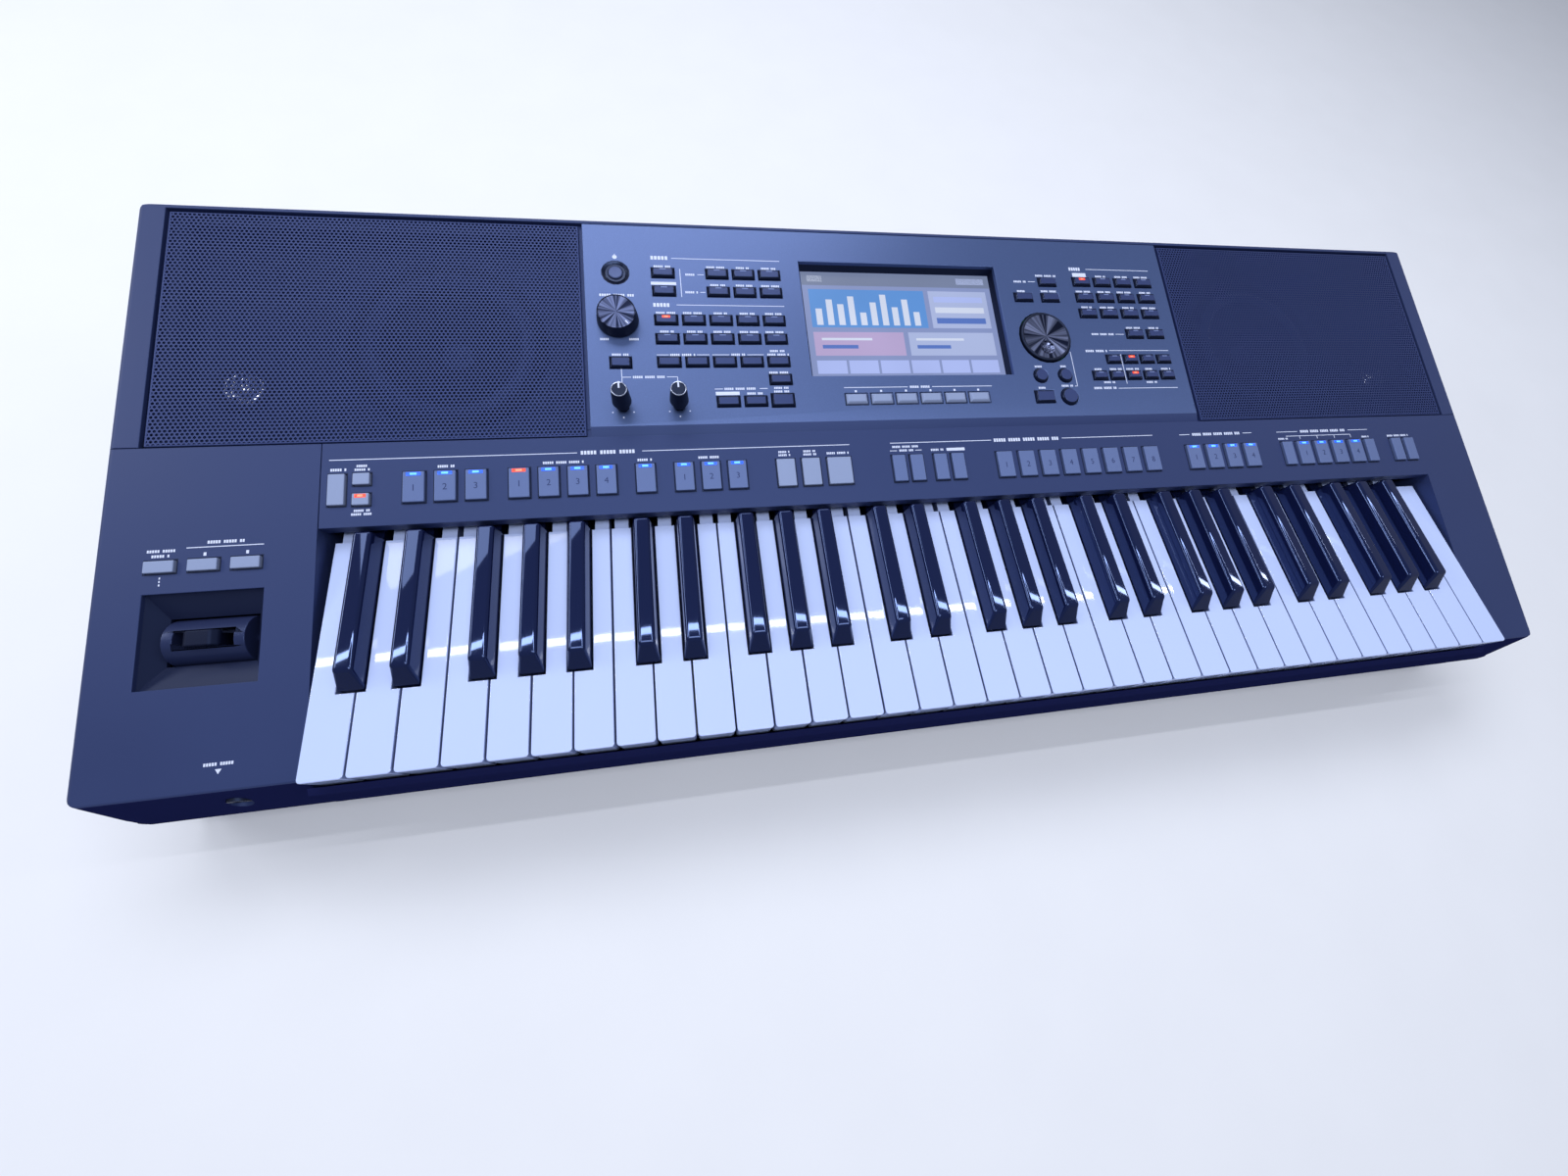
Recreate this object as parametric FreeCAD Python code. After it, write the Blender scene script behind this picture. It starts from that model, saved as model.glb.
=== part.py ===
import FreeCAD, Part
import math
import os

from FreeCAD import Placement, Rotation, Vector

# Arranger keyboard with 61 keys. Millimetres, X to the player's right, Y to the back, Z up.
# The origin is on the floor under the middle of the instrument.
# Most of the panel work is drawn on the sloping deck: x across, v up the slope, h square to it.

# Outer size and deck
WIDTH = 1017.0
DEPTH = 431.0
HEIGHT = 139.0
DECK_SLOPE = 10.0
DECK_Y = -7.8
DECK_Z = 109.8
DECK_FRONT = -200.4
DECK_REAR = 168.0
FOOT_HEIGHT = 4.0
SEAM_Z = 46.0
REAR_BREAK_Z = 80.0
WALL = 2.6
SHUT_LINE = 0.4
SIDE_TAPER = 6.5
TAPER_DEPTH = 34.0
SIDE_EDGE_R = 4.0
FRONT_CORNER_R = 22.0
REAR_CORNER_R = 9.0
PROFILE_RADII = [2.5, 5, 0, 0, 0, 0, 6, 3]
FAR = 700.0

# Keys
KEY_PITCH = 23.5
KEY_GAP = 1.0
OCTAVES = 5
KEYS_LEFT = -393.8
KEY_FRONT = -207.5
KEY_TOP = 88.5
KEY_SKIRT_BOTTOM = 71.0
KEY_LIP_BOTTOM = 66.0
KEY_WALL = 2.2
KEY_STEP_Y = -66.0
TAIL_TOP = 84.5
TAIL_BOTTOM = 72.0
TAIL_END = 3.0
TAIL_WIDTH = 9.0
BLACK_SLOT = 15.2
BLACK_BASE = 14.0
BLACK_TOP = 9.8
BLACK_HEIGHT = 11.5
BLACK_FRONT = -159.5
BLACK_REAR = -64.5
BLACK_FRONT_RUN = 9.0
BLACK_BODY_BOTTOM = 74.0
NOTCH_Y = -160.9
PIVOT_Y = -2.5
PIVOT_Z = 73.5
ROD_R = 2.0
ROD_PLAY = 0.08

# Key bed
FRAME_BOTTOM = 52.0
FRAME_TOP = 54.5
FRAME_FRONT = -203.0
FRAME_REAR = 12.0
STOP_TOP = 61.0
STOP_REAR = -193.0
GUIDE_TOP = 75.5
GUIDE_Y = -182.0
BEARER_TOP = 78.5
KEY_BED_RIB = (-195.0, 5.0)
BLADE_THICK = 2.4

# Openings in the deck
KEY_OPEN_LEFT = -396.9
KEY_OPEN_RIGHT = 453.7
STRIP_FRONT = -55.0
STRIP_SKIRT = 9.0
UPPER_OPEN_X = 492.5
UPPER_OPEN_REAR = 165.5
LEDGE_TOP = -3.0
LEDGE_BOTTOM = -5.5
LEDGE_FRONT = 6.4
BAFFLE_TOP = -14.0
BAFFLE_THICK = 3.0

# Fascia, display and grilles
FASCIA_X = 237.5
FASCIA_THICK = 3.0
BEVEL_REAR = 7.0
BEVEL_DROP = 2.2
WINDOW_X = 81.0
WINDOW_FRONT = 43.0
WINDOW_REAR = 139.0
LCD_TOP = -7.0
GRILLE_INNER = 240.2
GRILLE_OUTER = 490.2
GRILLE_FRONT = 0.7
GRILLE_REAR = 163.0
GRILLE_TOP = -0.2
SHEET = 1.2
WOOFER_X = 329.0
WOOFER_V = 76.0
TWEETER_X = 451.0
TWEETER_V = 46.0

# Buttons and boards
BUTTON_PLAY = 0.35
BUTTON_PROUD = 1.8
STRIP_CHAMFER = 0
FASCIA_CHAMFER = 1.5
FLANGE = 0.8
ROUND_SIDES = 16
INNER_SIDES = 12
FLANGE_THICK = 1.2
BOARD_GAP = 2.0
BOARD_THICK = 1.6
STRIP_V = -31.1
STRIP_DEPTH = 20.0
STRIP_BOARD_TOP = -WALL - FLANGE_THICK - BOARD_GAP
STRIP_POSTS = [(-357.0, -48.0), (-125.0, -48.0), (40.0, -48.0), (300.0, -48.0), (415.0, -48.0)]
POST_R = 3.0
FASCIA_BOARD_TOP = -FASCIA_THICK - FLANGE_THICK - BOARD_GAP
FASCIA_POSTS = [(-225.0, 140.0), (-94.0, 140.0), (-225.0, 37.0), (-94.0, 62.0)]
FASCIA_POSTS += [(94.0, 140.0), (225.0, 140.0), (145.0, 62.0), (225.0, 24.0)]
MAIN_BOARD_Z = 14.0
MAIN_BOARD_POSTS = [(-225.0, 40.0), (225.0, 40.0), (-225.0, 170.0), (225.0, 170.0)]

# Joystick, on the left end
STICK_X = -453.0
STICK_V = -115.75
STICK_H = -15.5
POCKET_X = 60.0
POCKET_V = 53.7
POCKET_FLOOR_X = 45.0
POCKET_FLOOR_V = 27.6
POCKET_FLOOR_H = -10.0
BARREL_R = 13.5
BARREL_LENGTH = 41.0
TRUNNION_R = 3.0
LEVER_X = 18.0
LEVER_V = 9.2
LEVER_TOP = 1.8
LEVER_PIN_R = 2.0
SLOT_X = 30.0
SLOT_V = 10.4

# Turning controls: place on the fascia, radius and height above it
VOLUME_AT = (-215.8, 87.5)
VOLUME_R = 14.25
VOLUME_FACE_R = 12.4
VOLUME_TOP = 9.5
LIVE_AT = ((-215.6, 21.4), (-177.8, 21.4))
LIVE_R = 6.4
LIVE_FACE_R = 5.2
LIVE_STEM_R = 4.2
LIVE_STEM = 7.0
LIVE_TOP = 22.0
DIAL_AT = (114.4, 75.4)
DIAL_R = 21.4
DIAL_WELL_R = 22.3
DIAL_TOP = 1.8
DIAL_UNDER = -3.6
DIMPLE_BEARING = -88.0
DIMPLE_R = 6.0
POWER_AT = (-215.8, 125.5)
POWER_R = 4.8
POWER_WELL_R = 7.4
POWER_RIM_R = 9.8
SHAFT_R = 3.0
SHAFT_PLAY = 0.08
KNOB_GAP = 0.6
KNOB_SIDES = 24

# Sockets: five round ones at the back, two data sockets and the power inlet, and the headphones at the front
SOCKET_Z = 30.0
PHONE_R = 3.2
PHONE_DEPTH = 24.0
PHONE_XS = [-200.0, -172.0, -120.0, -92.0, -40.0]
WIDE_DATA_X = 60.0
SQUARE_DATA_X = 100.0
INLET_X = 200.0
PLATE_X = 240.0
PLATE_FACE = DEPTH / 2 - WALL
HEADPHONES_X = -437.0
HEADPHONES_Z = 60.0

# Feet, and the case screws with the piece that each one holds
FEET = [(-450.0, -165.0), (450.0, -165.0), (-450.0, 165.0), (450.0, 165.0), (0.0, -165.0)]
LEFT_SCREWS = [(-470, -175), (-470, -30)]
RIGHT_SCREWS = [(482, -175), (482, -30)]
REAR_SCREWS = [(-490, 120), (490, 120), (-262, 198), (262, 198)]
FOOT_R = 11.0
BOSS_R = 5.0
SCREW_R = 1.5
SCREW_END = 60.0
SCREW_PLAY = 0.2
SCREW_HEAD = 2.2

DECK = Placement(Vector(0, DECK_Y, DECK_Z), Rotation(Vector(1, 0, 0), DECK_SLOPE))


def block(x0, x1, y0, y1, z0, z1):
    """A box between two corners."""
    return Part.makeBox(x1 - x0, y1 - y0, z1 - z0, Vector(x0, y0, z0))


def on_deck(shape):
    """A shape drawn in deck measures (x, v, h), set on the sloping deck."""
    placed = shape.copy()
    placed.Placement = DECK.multiply(placed.Placement)
    return placed


def deck_block(x0, x1, v0, v1, h0, h1):
    """A box in deck measures."""
    return on_deck(block(x0, x1, v0, v1, h0, h1))


def deck_point(x, v, h):
    """The place of a point given in deck measures."""
    return DECK.multVec(Vector(x, v, h))


def fuse(shapes):
    """One solid from pieces that meet."""
    whole = shapes[0].multiFuse(shapes[1:])
    return whole.removeSplitter()


def rounded_wire(points, radii, place, flats):
    """A closed outline with tangent arcs, or flats, at its corners. place turns (a, b) into a Vector."""
    count = len(points)
    starts = []
    ends = []
    middles = []
    for index in range(count):
        here = Vector(*points[index], 0)
        before = Vector(*points[index - 1], 0).sub(here).normalize()
        after = Vector(*points[(index + 1) % count], 0).sub(here).normalize()
        half = before.getAngle(after) / 2
        reach = radii[index] / math.tan(half)
        starts.append(here + before * reach)
        ends.append(here + after * reach)
        inward = (before + after).normalize()
        middles.append(here + inward * (radii[index] / math.sin(half) - radii[index]))
    edges = []
    for index in range(count):
        corner = [place(p.x, p.y) for p in (starts[index], middles[index], ends[index])]
        if radii[index] > 0 and flats:
            edges.append(Part.LineSegment(corner[0], corner[2]).toShape())
        elif radii[index] > 0:
            edges.append(Part.Arc(*corner).toShape())
        following = starts[(index + 1) % count]
        edges.append(Part.LineSegment(corner[2], place(following.x, following.y)).toShape())
    return Part.Wire(edges)


def inset_face(wire, inset):
    """The face inside an outline, drawn in by inset."""
    if inset:
        wire = wire.makeOffset2D(-inset, 2)
    return Part.Face(wire)


def envelope(inset):
    """The outside form of the whole instrument, or the same form drawn in by a wall, with flats for its roundings."""
    flats = inset > 0
    front = deck_point(0, DECK_FRONT, 0)
    rear = deck_point(0, DECK_REAR, 0)
    half_depth = DEPTH / 2
    profile = [
        (front.y, front.z),
        (-half_depth, SEAM_Z - 1),
        (-half_depth + 7.5, 16),
        (-half_depth + 19.5, FOOT_HEIGHT),
        (half_depth - 9.5, FOOT_HEIGHT),
        (half_depth, FOOT_HEIGHT + 10),
        (half_depth, REAR_BREAK_Z),
        (rear.y, rear.z),
    ]
    side = rounded_wire(profile, PROFILE_RADII, lambda y, z: Vector(-FAR, y, z), flats)
    along = inset_face(side, inset).extrude(Vector(2 * FAR, 0, 0))

    half = WIDTH / 2
    lean = math.atan(SIDE_TAPER / TAPER_DEPTH)
    rounding = math.sin(lean) / math.tan((math.pi / 2 - lean) / 2) - 1 + math.cos(lean)
    edge = half + SIDE_EDGE_R * rounding
    low = edge - SIDE_TAPER
    bottom = low - SIDE_TAPER
    section = [(edge, 0), (low, -TAPER_DEPTH), (bottom, -170), (-bottom, -170), (-low, -TAPER_DEPTH), (-edge, 0)]
    edge_radii = [SIDE_EDGE_R, 0, 0, 0, 0, SIDE_EDGE_R]
    across = rounded_wire(section, edge_radii, lambda x, h: Vector(x, -FAR, h), flats)
    tapered = on_deck(inset_face(across, inset).extrude(Vector(0, 2 * FAR, 0)))

    plan = [(half, -half_depth), (half, half_depth), (-half, half_depth), (-half, -half_depth)]
    corners = [FRONT_CORNER_R, REAR_CORNER_R, REAR_CORNER_R, FRONT_CORNER_R]
    outline = rounded_wire(plan, corners, lambda x, y: Vector(x, y, -10), flats)
    upright = inset_face(outline, inset).extrude(Vector(0, 0, 2 * FAR))
    return along.common(tapered).common(upright)


OUTER = envelope(0)
INNER = envelope(WALL)
SHELL = OUTER.cut(INNER)
TOP_SHELL = SHELL.common(block(-FAR, FAR, -FAR, FAR, SEAM_Z, FAR))
FRONT_ZONE = deck_block(-FAR, FAR, -FAR, -SHUT_LINE / 2, -FAR, FAR)
REAR_ZONE = deck_block(-FAR, FAR, SHUT_LINE / 2, FAR, -FAR, FAR)


def polygon_face(corners):
    """The flat face inside its corners."""
    return Part.Face(Part.makePolygon(corners + corners[:1]))


def ring(x, y, z, radius, sides):
    """The corners of a level regular polygon whose flats are at the radius."""
    reach = radius / math.cos(math.pi / sides)
    turns = [(index + 0.5) * 2 * math.pi / sides for index in range(sides)]
    return [Vector(x + reach * math.cos(turn), y + reach * math.sin(turn), z) for turn in turns]


def post(x, y, z0, z1, radius, sides=6):
    """An upright flat-sided bar."""
    return polygon_face(ring(x, y, z0, radius, sides)).extrude(Vector(0, 0, z1 - z0))


def skin(outlines):
    """A solid with flat facets over a stack of closed outlines with equal numbers of corners."""
    facets = [polygon_face(outlines[0]), polygon_face(outlines[-1])]
    for lower, upper in zip(outlines, outlines[1:]):
        for index in range(len(lower)):
            following = (index + 1) % len(lower)
            facets.append(polygon_face([lower[index], lower[following], upper[following], upper[index]]))
    return Part.Solid(Part.Shell(facets))


def turned(profile, x, v, sides):
    """A flat-sided turning about the deck normal at (x, v), from (radius, h) points."""
    return skin([ring(x, v, h, radius, sides) for radius, h in profile])


def screw_bosses(places):
    """Bosses inside a top piece, from the seam up to the underside of the deck, bored for screws."""
    bosses = []
    for x, y in places:
        boss = post(x, y, SEAM_Z, HEIGHT, BOSS_R).common(INNER)
        bosses.append(boss.cut(post(x, y, 0, SCREW_END + 4, SCREW_R + SCREW_PLAY)))
    return bosses


# Button layout: centre x, centre v, width, depth
def row(xs, v, width, depth):
    """Buttons in a row across the deck."""
    return [(x, v, width, depth) for x in xs]


def spaced(first, count, pitch):
    """Evenly spaced centres."""
    return [first + index * pitch for index in range(count)]


STRIP_PITCH = 18.0
PANEL_PITCH = 19.5
PANEL_KEY = (16.0, 8.0)
LEFT_COLUMNS = spaced(-182.5, 5, PANEL_PITCH)
VOICE_COLUMNS = spaced(158.0, 4, PANEL_PITCH)
PART_COLUMNS = spaced(156.2, 5, 15.6)

STRIP_BUTTONS = {
    "style_utility_buttons": row([-387.2], STRIP_V, 9.2, STRIP_DEPTH)
    + [(-373.6, -24.6, 9.4, 7.5), (-373.6, -37.8, 9.4, 7.5)],
    "intro_buttons": row(spaced(-344.2, 3, STRIP_PITCH), STRIP_V, 12.4, STRIP_DEPTH),
    "main_break_buttons": row(spaced(-282.6, 4, STRIP_PITCH) + [-203.4], STRIP_V, 12.4, STRIP_DEPTH),
    "ending_buttons": row(spaced(-178.0, 3, STRIP_PITCH), STRIP_V, 12.4, STRIP_DEPTH),
    "sync_start_buttons": row([-108.0, -90.0], STRIP_V, 12.8, STRIP_DEPTH)
    + row([-69.4], STRIP_V, 17.3, STRIP_DEPTH),
    "registration_buttons": row([-24.7, -11.0, 7.4, 21.2], STRIP_V, 9.8, STRIP_DEPTH)
    + row(spaced(58.8, 8, STRIP_PITCH), STRIP_V, 12.5, STRIP_DEPTH),
    "one_touch_buttons": row(spaced(224.6, 4, STRIP_PITCH), STRIP_V, 12.8, STRIP_DEPTH),
    "multi_pad_buttons": row([315.5, 400.2], STRIP_V, 9.6, STRIP_DEPTH)
    + row(spaced(331.6, 4, 17.7), STRIP_V, 12.8, STRIP_DEPTH),
    "octave_buttons": row([428.8, 442.6], STRIP_V, 9.8, STRIP_DEPTH),
}
CHEEK_BUTTONS = row(spaced(-475.2, 3, 21.4), -73.3, 14.8, 7.0)
FASCIA_BUTTONS = {
    "song_buttons": row([LEFT_COLUMNS[0]] + LEFT_COLUMNS[2:], 126.0, *PANEL_KEY)
    + row([LEFT_COLUMNS[0]] + LEFT_COLUMNS[2:], 111.1, *PANEL_KEY),
    "style_buttons": row(LEFT_COLUMNS, 87.8, *PANEL_KEY) + row(LEFT_COLUMNS, 72.8, *PANEL_KEY),
    "tempo_buttons": row(LEFT_COLUMNS, 54.6, *PANEL_KEY)
    + row([LEFT_COLUMNS[4]], 40.4, *PANEL_KEY)
    + row(LEFT_COLUMNS[2:4], 23.7, *PANEL_KEY)
    + row([LEFT_COLUMNS[4]], 24.1, 16.5, 10.3)
    + row([-215.5], 54.3, 14.4, 8.6),
    "assignable_buttons": row(spaced(-49.6, 6, PANEL_PITCH), 24.1, *PANEL_KEY),
    "menu_buttons": row([126.4], 125.9, *PANEL_KEY)
    + row([102.5, 126.4], 111.4, *PANEL_KEY)
    + row([103.5], 23.7, 16.7, 10.4),
    "voice_buttons": row(VOICE_COLUMNS, 126.7, 15.6, 8.0)
    + row(VOICE_COLUMNS, 112.0, 15.6, 8.0)
    + row(VOICE_COLUMNS, 97.4, 15.6, 8.0)
    + row(VOICE_COLUMNS[2:], 78.7, 15.6, 8.0),
    "part_buttons": row(PART_COLUMNS[1:], 55.8, 12.8, 7.6) + row(PART_COLUMNS, 41.4, 12.8, 7.6),
}
# Round buttons of the menu group: centre x, centre v, radius
ROUND_BUTTONS = [(103.6, 41.8, 6.0), (125.0, 41.8, 6.0), (124.9, 23.6, 7.2)]


def button_holes(buttons, thick):
    """The holes that a panel needs for its buttons."""
    holes = []
    for x, v, width, depth in buttons:
        reach_x = width / 2 + BUTTON_PLAY
        reach_v = depth / 2 + BUTTON_PLAY
        holes.append(deck_block(x - reach_x, x + reach_x, v - reach_v, v + reach_v, -thick - 1, 5))
    return holes


def button(x, v, width, depth, thick, chamfer):
    """A moulded button: a cap with sloping edges, and a flange that bears on the panel's underside."""
    half_x = width / 2
    half_v = depth / 2
    cap = block(x - half_x, x + half_x, v - half_v, v + half_v, -thick, BUTTON_PROUD)
    if chamfer:
        rim = [edge for edge in cap.Edges if edge.BoundBox.ZMin > BUTTON_PROUD - 0.01]
        cap = cap.makeChamfer(chamfer, rim)
    reach_x = half_x + FLANGE
    reach_v = half_v + FLANGE
    flange = block(x - reach_x, x + reach_x, v - reach_v, v + reach_v, -thick - FLANGE_THICK, -thick)
    return on_deck(fuse([cap, flange]))


def round_button(x, v, radius, thick, proud, chamfer):
    """A round button with an eased edge and a flange."""
    profile = [
        (radius + FLANGE, -thick - FLANGE_THICK),
        (radius + FLANGE, -thick),
        (radius, -thick),
        (radius, proud - chamfer),
        (radius - chamfer, proud),
    ]
    return on_deck(turned(profile, x, v, ROUND_SIDES))


def bottom_case():
    """The lower tray, with the key slip along its front edge, bosses, columns and a rear socket window."""
    tray = SHELL.common(block(-FAR, FAR, -FAR, FAR, 0, SEAM_Z))
    slip_rear = KEY_FRONT - 1.3
    slip_points = [
        (slip_rear, 73.8),
        (-DEPTH / 2 + 2.3, 71.6),
        (-DEPTH / 2, SEAM_Z - 1),
        (-DEPTH / 2 + 2.2, 38.0),
        (slip_rear, 38.0),
    ]
    slip = yz_bar(slip_points, KEY_OPEN_LEFT + 0.6, KEY_OPEN_RIGHT - 0.6)
    pieces = [tray, slip]
    for x, y in LEFT_SCREWS + RIGHT_SCREWS + REAR_SCREWS:
        pieces.append(post(x, y, FOOT_HEIGHT, SEAM_Z, BOSS_R))
    for x in spaced(-360.0, 5, 190.0):
        pieces.append(block(x - 1.5, x + 1.5, *KEY_BED_RIB, FOOT_HEIGHT, FRAME_BOTTOM))
    for x, y in MAIN_BOARD_POSTS:
        pieces.append(post(x, y, FOOT_HEIGHT, MAIN_BOARD_Z, POST_R))
    case = fuse(pieces)
    for x, y in LEFT_SCREWS + RIGHT_SCREWS + REAR_SCREWS:
        case = case.cut(post(x, y, 0, SEAM_Z + 1, SCREW_R + SCREW_PLAY))
    window = block(-PLATE_X + 6, PLATE_X - 6, DEPTH / 2 - 8, DEPTH, SOCKET_Z - 10, SOCKET_Z + 12)
    return case.cut(window)


def yz_bar(points, x0, x1):
    """A bar across the instrument with a section given in (y, z)."""
    corners = [Vector(x0, y, z) for y, z in points]
    face = polygon_face(corners)
    return face.extrude(Vector(x1 - x0, 0, 0))


def ledge(x0, x1):
    """The lip behind the strip, on which the fascia and the grilles stand."""
    root = deck_block(x0, x1, -9.0, -SHUT_LINE / 2, LEDGE_BOTTOM, -WALL)
    lip = deck_block(x0, x1, -9.0, LEDGE_FRONT - SHUT_LINE, LEDGE_BOTTOM, LEDGE_TOP)
    return [root, lip]


def board_bosses(places, top, bottom):
    """Short round posts under a panel, that a board is screwed to."""
    return [on_deck(post(x, v, bottom, top, POST_R)) for x, v in places]


def front_deck():
    """The button strip and the right cheek, in one moulding."""
    zone = block(KEY_OPEN_LEFT + SHUT_LINE, FAR, -FAR, FAR, 0, FAR)
    shell = TOP_SHELL.common(FRONT_ZONE).common(zone)
    shell = shell.cut(deck_block(-FAR, KEY_OPEN_RIGHT, -FAR, STRIP_FRONT, -FAR, FAR))
    left = KEY_OPEN_LEFT + SHUT_LINE
    cheek = block(KEY_OPEN_RIGHT, KEY_OPEN_RIGHT + WALL, -FAR, FAR, SEAM_Z, FAR)
    cheek_wall = OUTER.common(cheek).common(deck_block(0, FAR, -FAR, STRIP_FRONT + WALL, -FAR, FAR))
    skirt = deck_block(left, KEY_OPEN_RIGHT + WALL, STRIP_FRONT, STRIP_FRONT + WALL, -STRIP_SKIRT, 0)
    pieces = [shell, cheek_wall, skirt] + ledge(left, UPPER_OPEN_X - 3)
    pieces += screw_bosses(RIGHT_SCREWS)
    pieces += board_bosses(STRIP_POSTS, -WALL, STRIP_BOARD_TOP)
    deck = fuse(pieces)
    for buttons in STRIP_BUTTONS.values():
        deck = deck.cut(button_holes(buttons, WALL))
    return deck


def left_end_block():
    """The left cheek, with the joystick pocket, three button holes and the headphone socket's hole."""
    zone = block(-FAR, KEY_OPEN_LEFT, -FAR, FAR, 0, FAR)
    shell = TOP_SHELL.common(FRONT_ZONE).common(zone)
    inner_wall = OUTER.common(block(KEY_OPEN_LEFT - WALL, KEY_OPEN_LEFT, -FAR, FAR, SEAM_Z, FAR)).common(FRONT_ZONE)
    tongue_bottom = -WALL - 2.4
    tongue = deck_block(KEY_OPEN_LEFT - WALL, KEY_OPEN_LEFT + 3.6, -46.0, -12.0, tongue_bottom, -WALL)
    pieces = [shell, inner_wall, tongue] + ledge(-UPPER_OPEN_X + 3, KEY_OPEN_LEFT)
    pieces += screw_bosses(LEFT_SCREWS)
    end = fuse(pieces)
    pocket = deck_block(
        STICK_X - POCKET_X / 2, STICK_X + POCKET_X / 2,
        STICK_V - POCKET_V / 2, STICK_V + POCKET_V / 2, -WALL - 1, 5,
    )
    hole = nut(HEADPHONES_X, HEADPHONES_Z, -DEPTH / 2 - 5, -DEPTH / 2 + 25, 6.0, ROUND_SIDES)
    return end.cut([pocket, hole] + button_holes(CHEEK_BUTTONS, WALL))


def mirrored(x, side):
    """A span on the left or the right half: side is -1 or 1."""
    return sorted((side * x[0], side * x[1]))


def upper_frame():
    """The rear top case: side trims, rear slope, a ledge round the openings, and the speaker baffles."""
    shell = TOP_SHELL.common(REAR_ZONE)
    trims = deck_block(-FAR, FAR, LEDGE_FRONT, UPPER_OPEN_REAR + 3, LEDGE_BOTTOM, LEDGE_TOP)
    rim = trims.common(OUTER)
    pieces = [shell, rim]
    opening = deck_block(-UPPER_OPEN_X, UPPER_OPEN_X, -20, UPPER_OPEN_REAR, LEDGE_TOP, 20)
    holes = [opening, deck_block(-FASCIA_X + 8, FASCIA_X - 8, LEDGE_FRONT - 1, 158, -20, 0)]
    for side in (-1, 1):
        gap = mirrored((249.0, 482.0), side)
        holes.append(deck_block(*gap, 10.0, 156.0, BAFFLE_TOP, 0))
        tray = mirrored((246.4, 484.6), side)
        pieces.append(deck_block(*tray, 7.4, 158.6, BAFFLE_TOP - BAFFLE_THICK, LEDGE_BOTTOM))
        filler = mirrored((UPPER_OPEN_X, 504.0), side)
        pieces.append(deck_block(*filler, LEDGE_FRONT, UPPER_OPEN_REAR, LEDGE_BOTTOM, -WALL).common(OUTER))
        for x, v, radius in ((WOOFER_X, WOOFER_V, 56.5), (TWEETER_X, TWEETER_V, 14.8)):
            holes.append(on_deck(post(side * x, v, BAFFLE_TOP - 25, BAFFLE_TOP + 5, radius, INNER_SIDES)))
    pieces += screw_bosses(REAR_SCREWS)
    return fuse(pieces).cut(holes)


def speakers(x, v, profile):
    """The same driver on both sides."""
    return [on_deck(turned(profile, side * x, v, INNER_SIDES)) for side in (-1, 1)]


def woofers():
    """Two cone drivers: magnet, basket, flange, roll surround, cone and dust cap."""
    top = BAFFLE_TOP
    profile = [
        (38, top - 50), (38, top - 32), (55.5, top), (63, top), (63, top + 3.0), (54, top + 1.8), (49.5, top + 4.0),
        (45, top + 1.2), (18, top - 13), (10, top - 9.5),
    ]
    return speakers(WOOFER_X, WOOFER_V, profile)


def tweeters():
    """Two dome drivers on small round flanges."""
    top = BAFFLE_TOP
    profile = [
        (14.2, top - 16), (14.2, top), (17.5, top), (17.5, top + 1.2), (13, top + 1.2), (6.5, top - 1.8),
        (3.0, top + 0.8),
    ]
    return speakers(TWEETER_X, TWEETER_V, profile)


def speaker_grille(side):
    """A sheet-metal grille with its edges folded down on to the ledge."""
    outer = mirrored((GRILLE_INNER, GRILLE_OUTER), side)
    inner = (outer[0] + SHEET, outer[1] - SHEET)
    sheet = deck_block(*outer, GRILLE_FRONT, GRILLE_REAR, LEDGE_TOP, GRILLE_TOP)
    under = deck_block(*inner, GRILLE_FRONT + SHEET, GRILLE_REAR - SHEET, LEDGE_TOP - 1, GRILLE_TOP - SHEET)
    return sheet.cut(under)


def fascia_panel():
    """The control panel: a bevelled plate with a display window, button holes, shaft holes and board posts."""
    section = [
        (-SHUT_LINE / 2, LEDGE_TOP), (UPPER_OPEN_REAR - SHUT_LINE, LEDGE_TOP), (UPPER_OPEN_REAR - SHUT_LINE, 0),
        (BEVEL_REAR, 0), (-SHUT_LINE / 2, -BEVEL_DROP),
    ]
    plate = on_deck(yz_bar(section, -FASCIA_X, FASCIA_X))
    plate = fuse([plate] + board_bosses(FASCIA_POSTS, LEDGE_TOP, FASCIA_BOARD_TOP))
    dish = [(POWER_WELL_R, -1.8), (POWER_WELL_R, -0.8), (POWER_RIM_R, 0), (POWER_RIM_R, 1)]
    holes = [deck_block(-WINDOW_X, WINDOW_X, WINDOW_FRONT, WINDOW_REAR, -10, 5)]
    holes.append(on_deck(turned(dish, *POWER_AT, ROUND_SIDES)))
    for buttons in FASCIA_BUTTONS.values():
        holes += button_holes(buttons, FASCIA_THICK)
    rounds = [(x, v, radius + BUTTON_PLAY, ROUND_SIDES) for x, v, radius in ROUND_BUTTONS]
    rounds += [(*at, SHAFT_R + 0.8, 8) for at in (VOLUME_AT, *LIVE_AT)]
    rounds += [(*DIAL_AT, DIAL_WELL_R, KNOB_SIDES), (*POWER_AT, POWER_R + BUTTON_PLAY, ROUND_SIDES)]
    for x, v, radius, sides in rounds:
        holes.append(on_deck(post(x, v, -6, 4, radius, sides)))
    return plate.cut(holes)


def display_bezel():
    """The frame between the fascia and the screen, with walls that close in a little towards the glass."""
    top = LEDGE_TOP
    frame = block(-WINDOW_X - 5, WINDOW_X + 5, WINDOW_FRONT - 5, WINDOW_REAR + 5, LCD_TOP, top)
    upper = rectangle(-WINDOW_X, WINDOW_X, WINDOW_FRONT, WINDOW_REAR, top)
    lower = rectangle(-WINDOW_X + 2, WINDOW_X - 2, WINDOW_FRONT + 2.5, WINDOW_REAR - 2.5, LCD_TOP)
    return on_deck(frame.cut(skin([lower, upper])))


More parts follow.
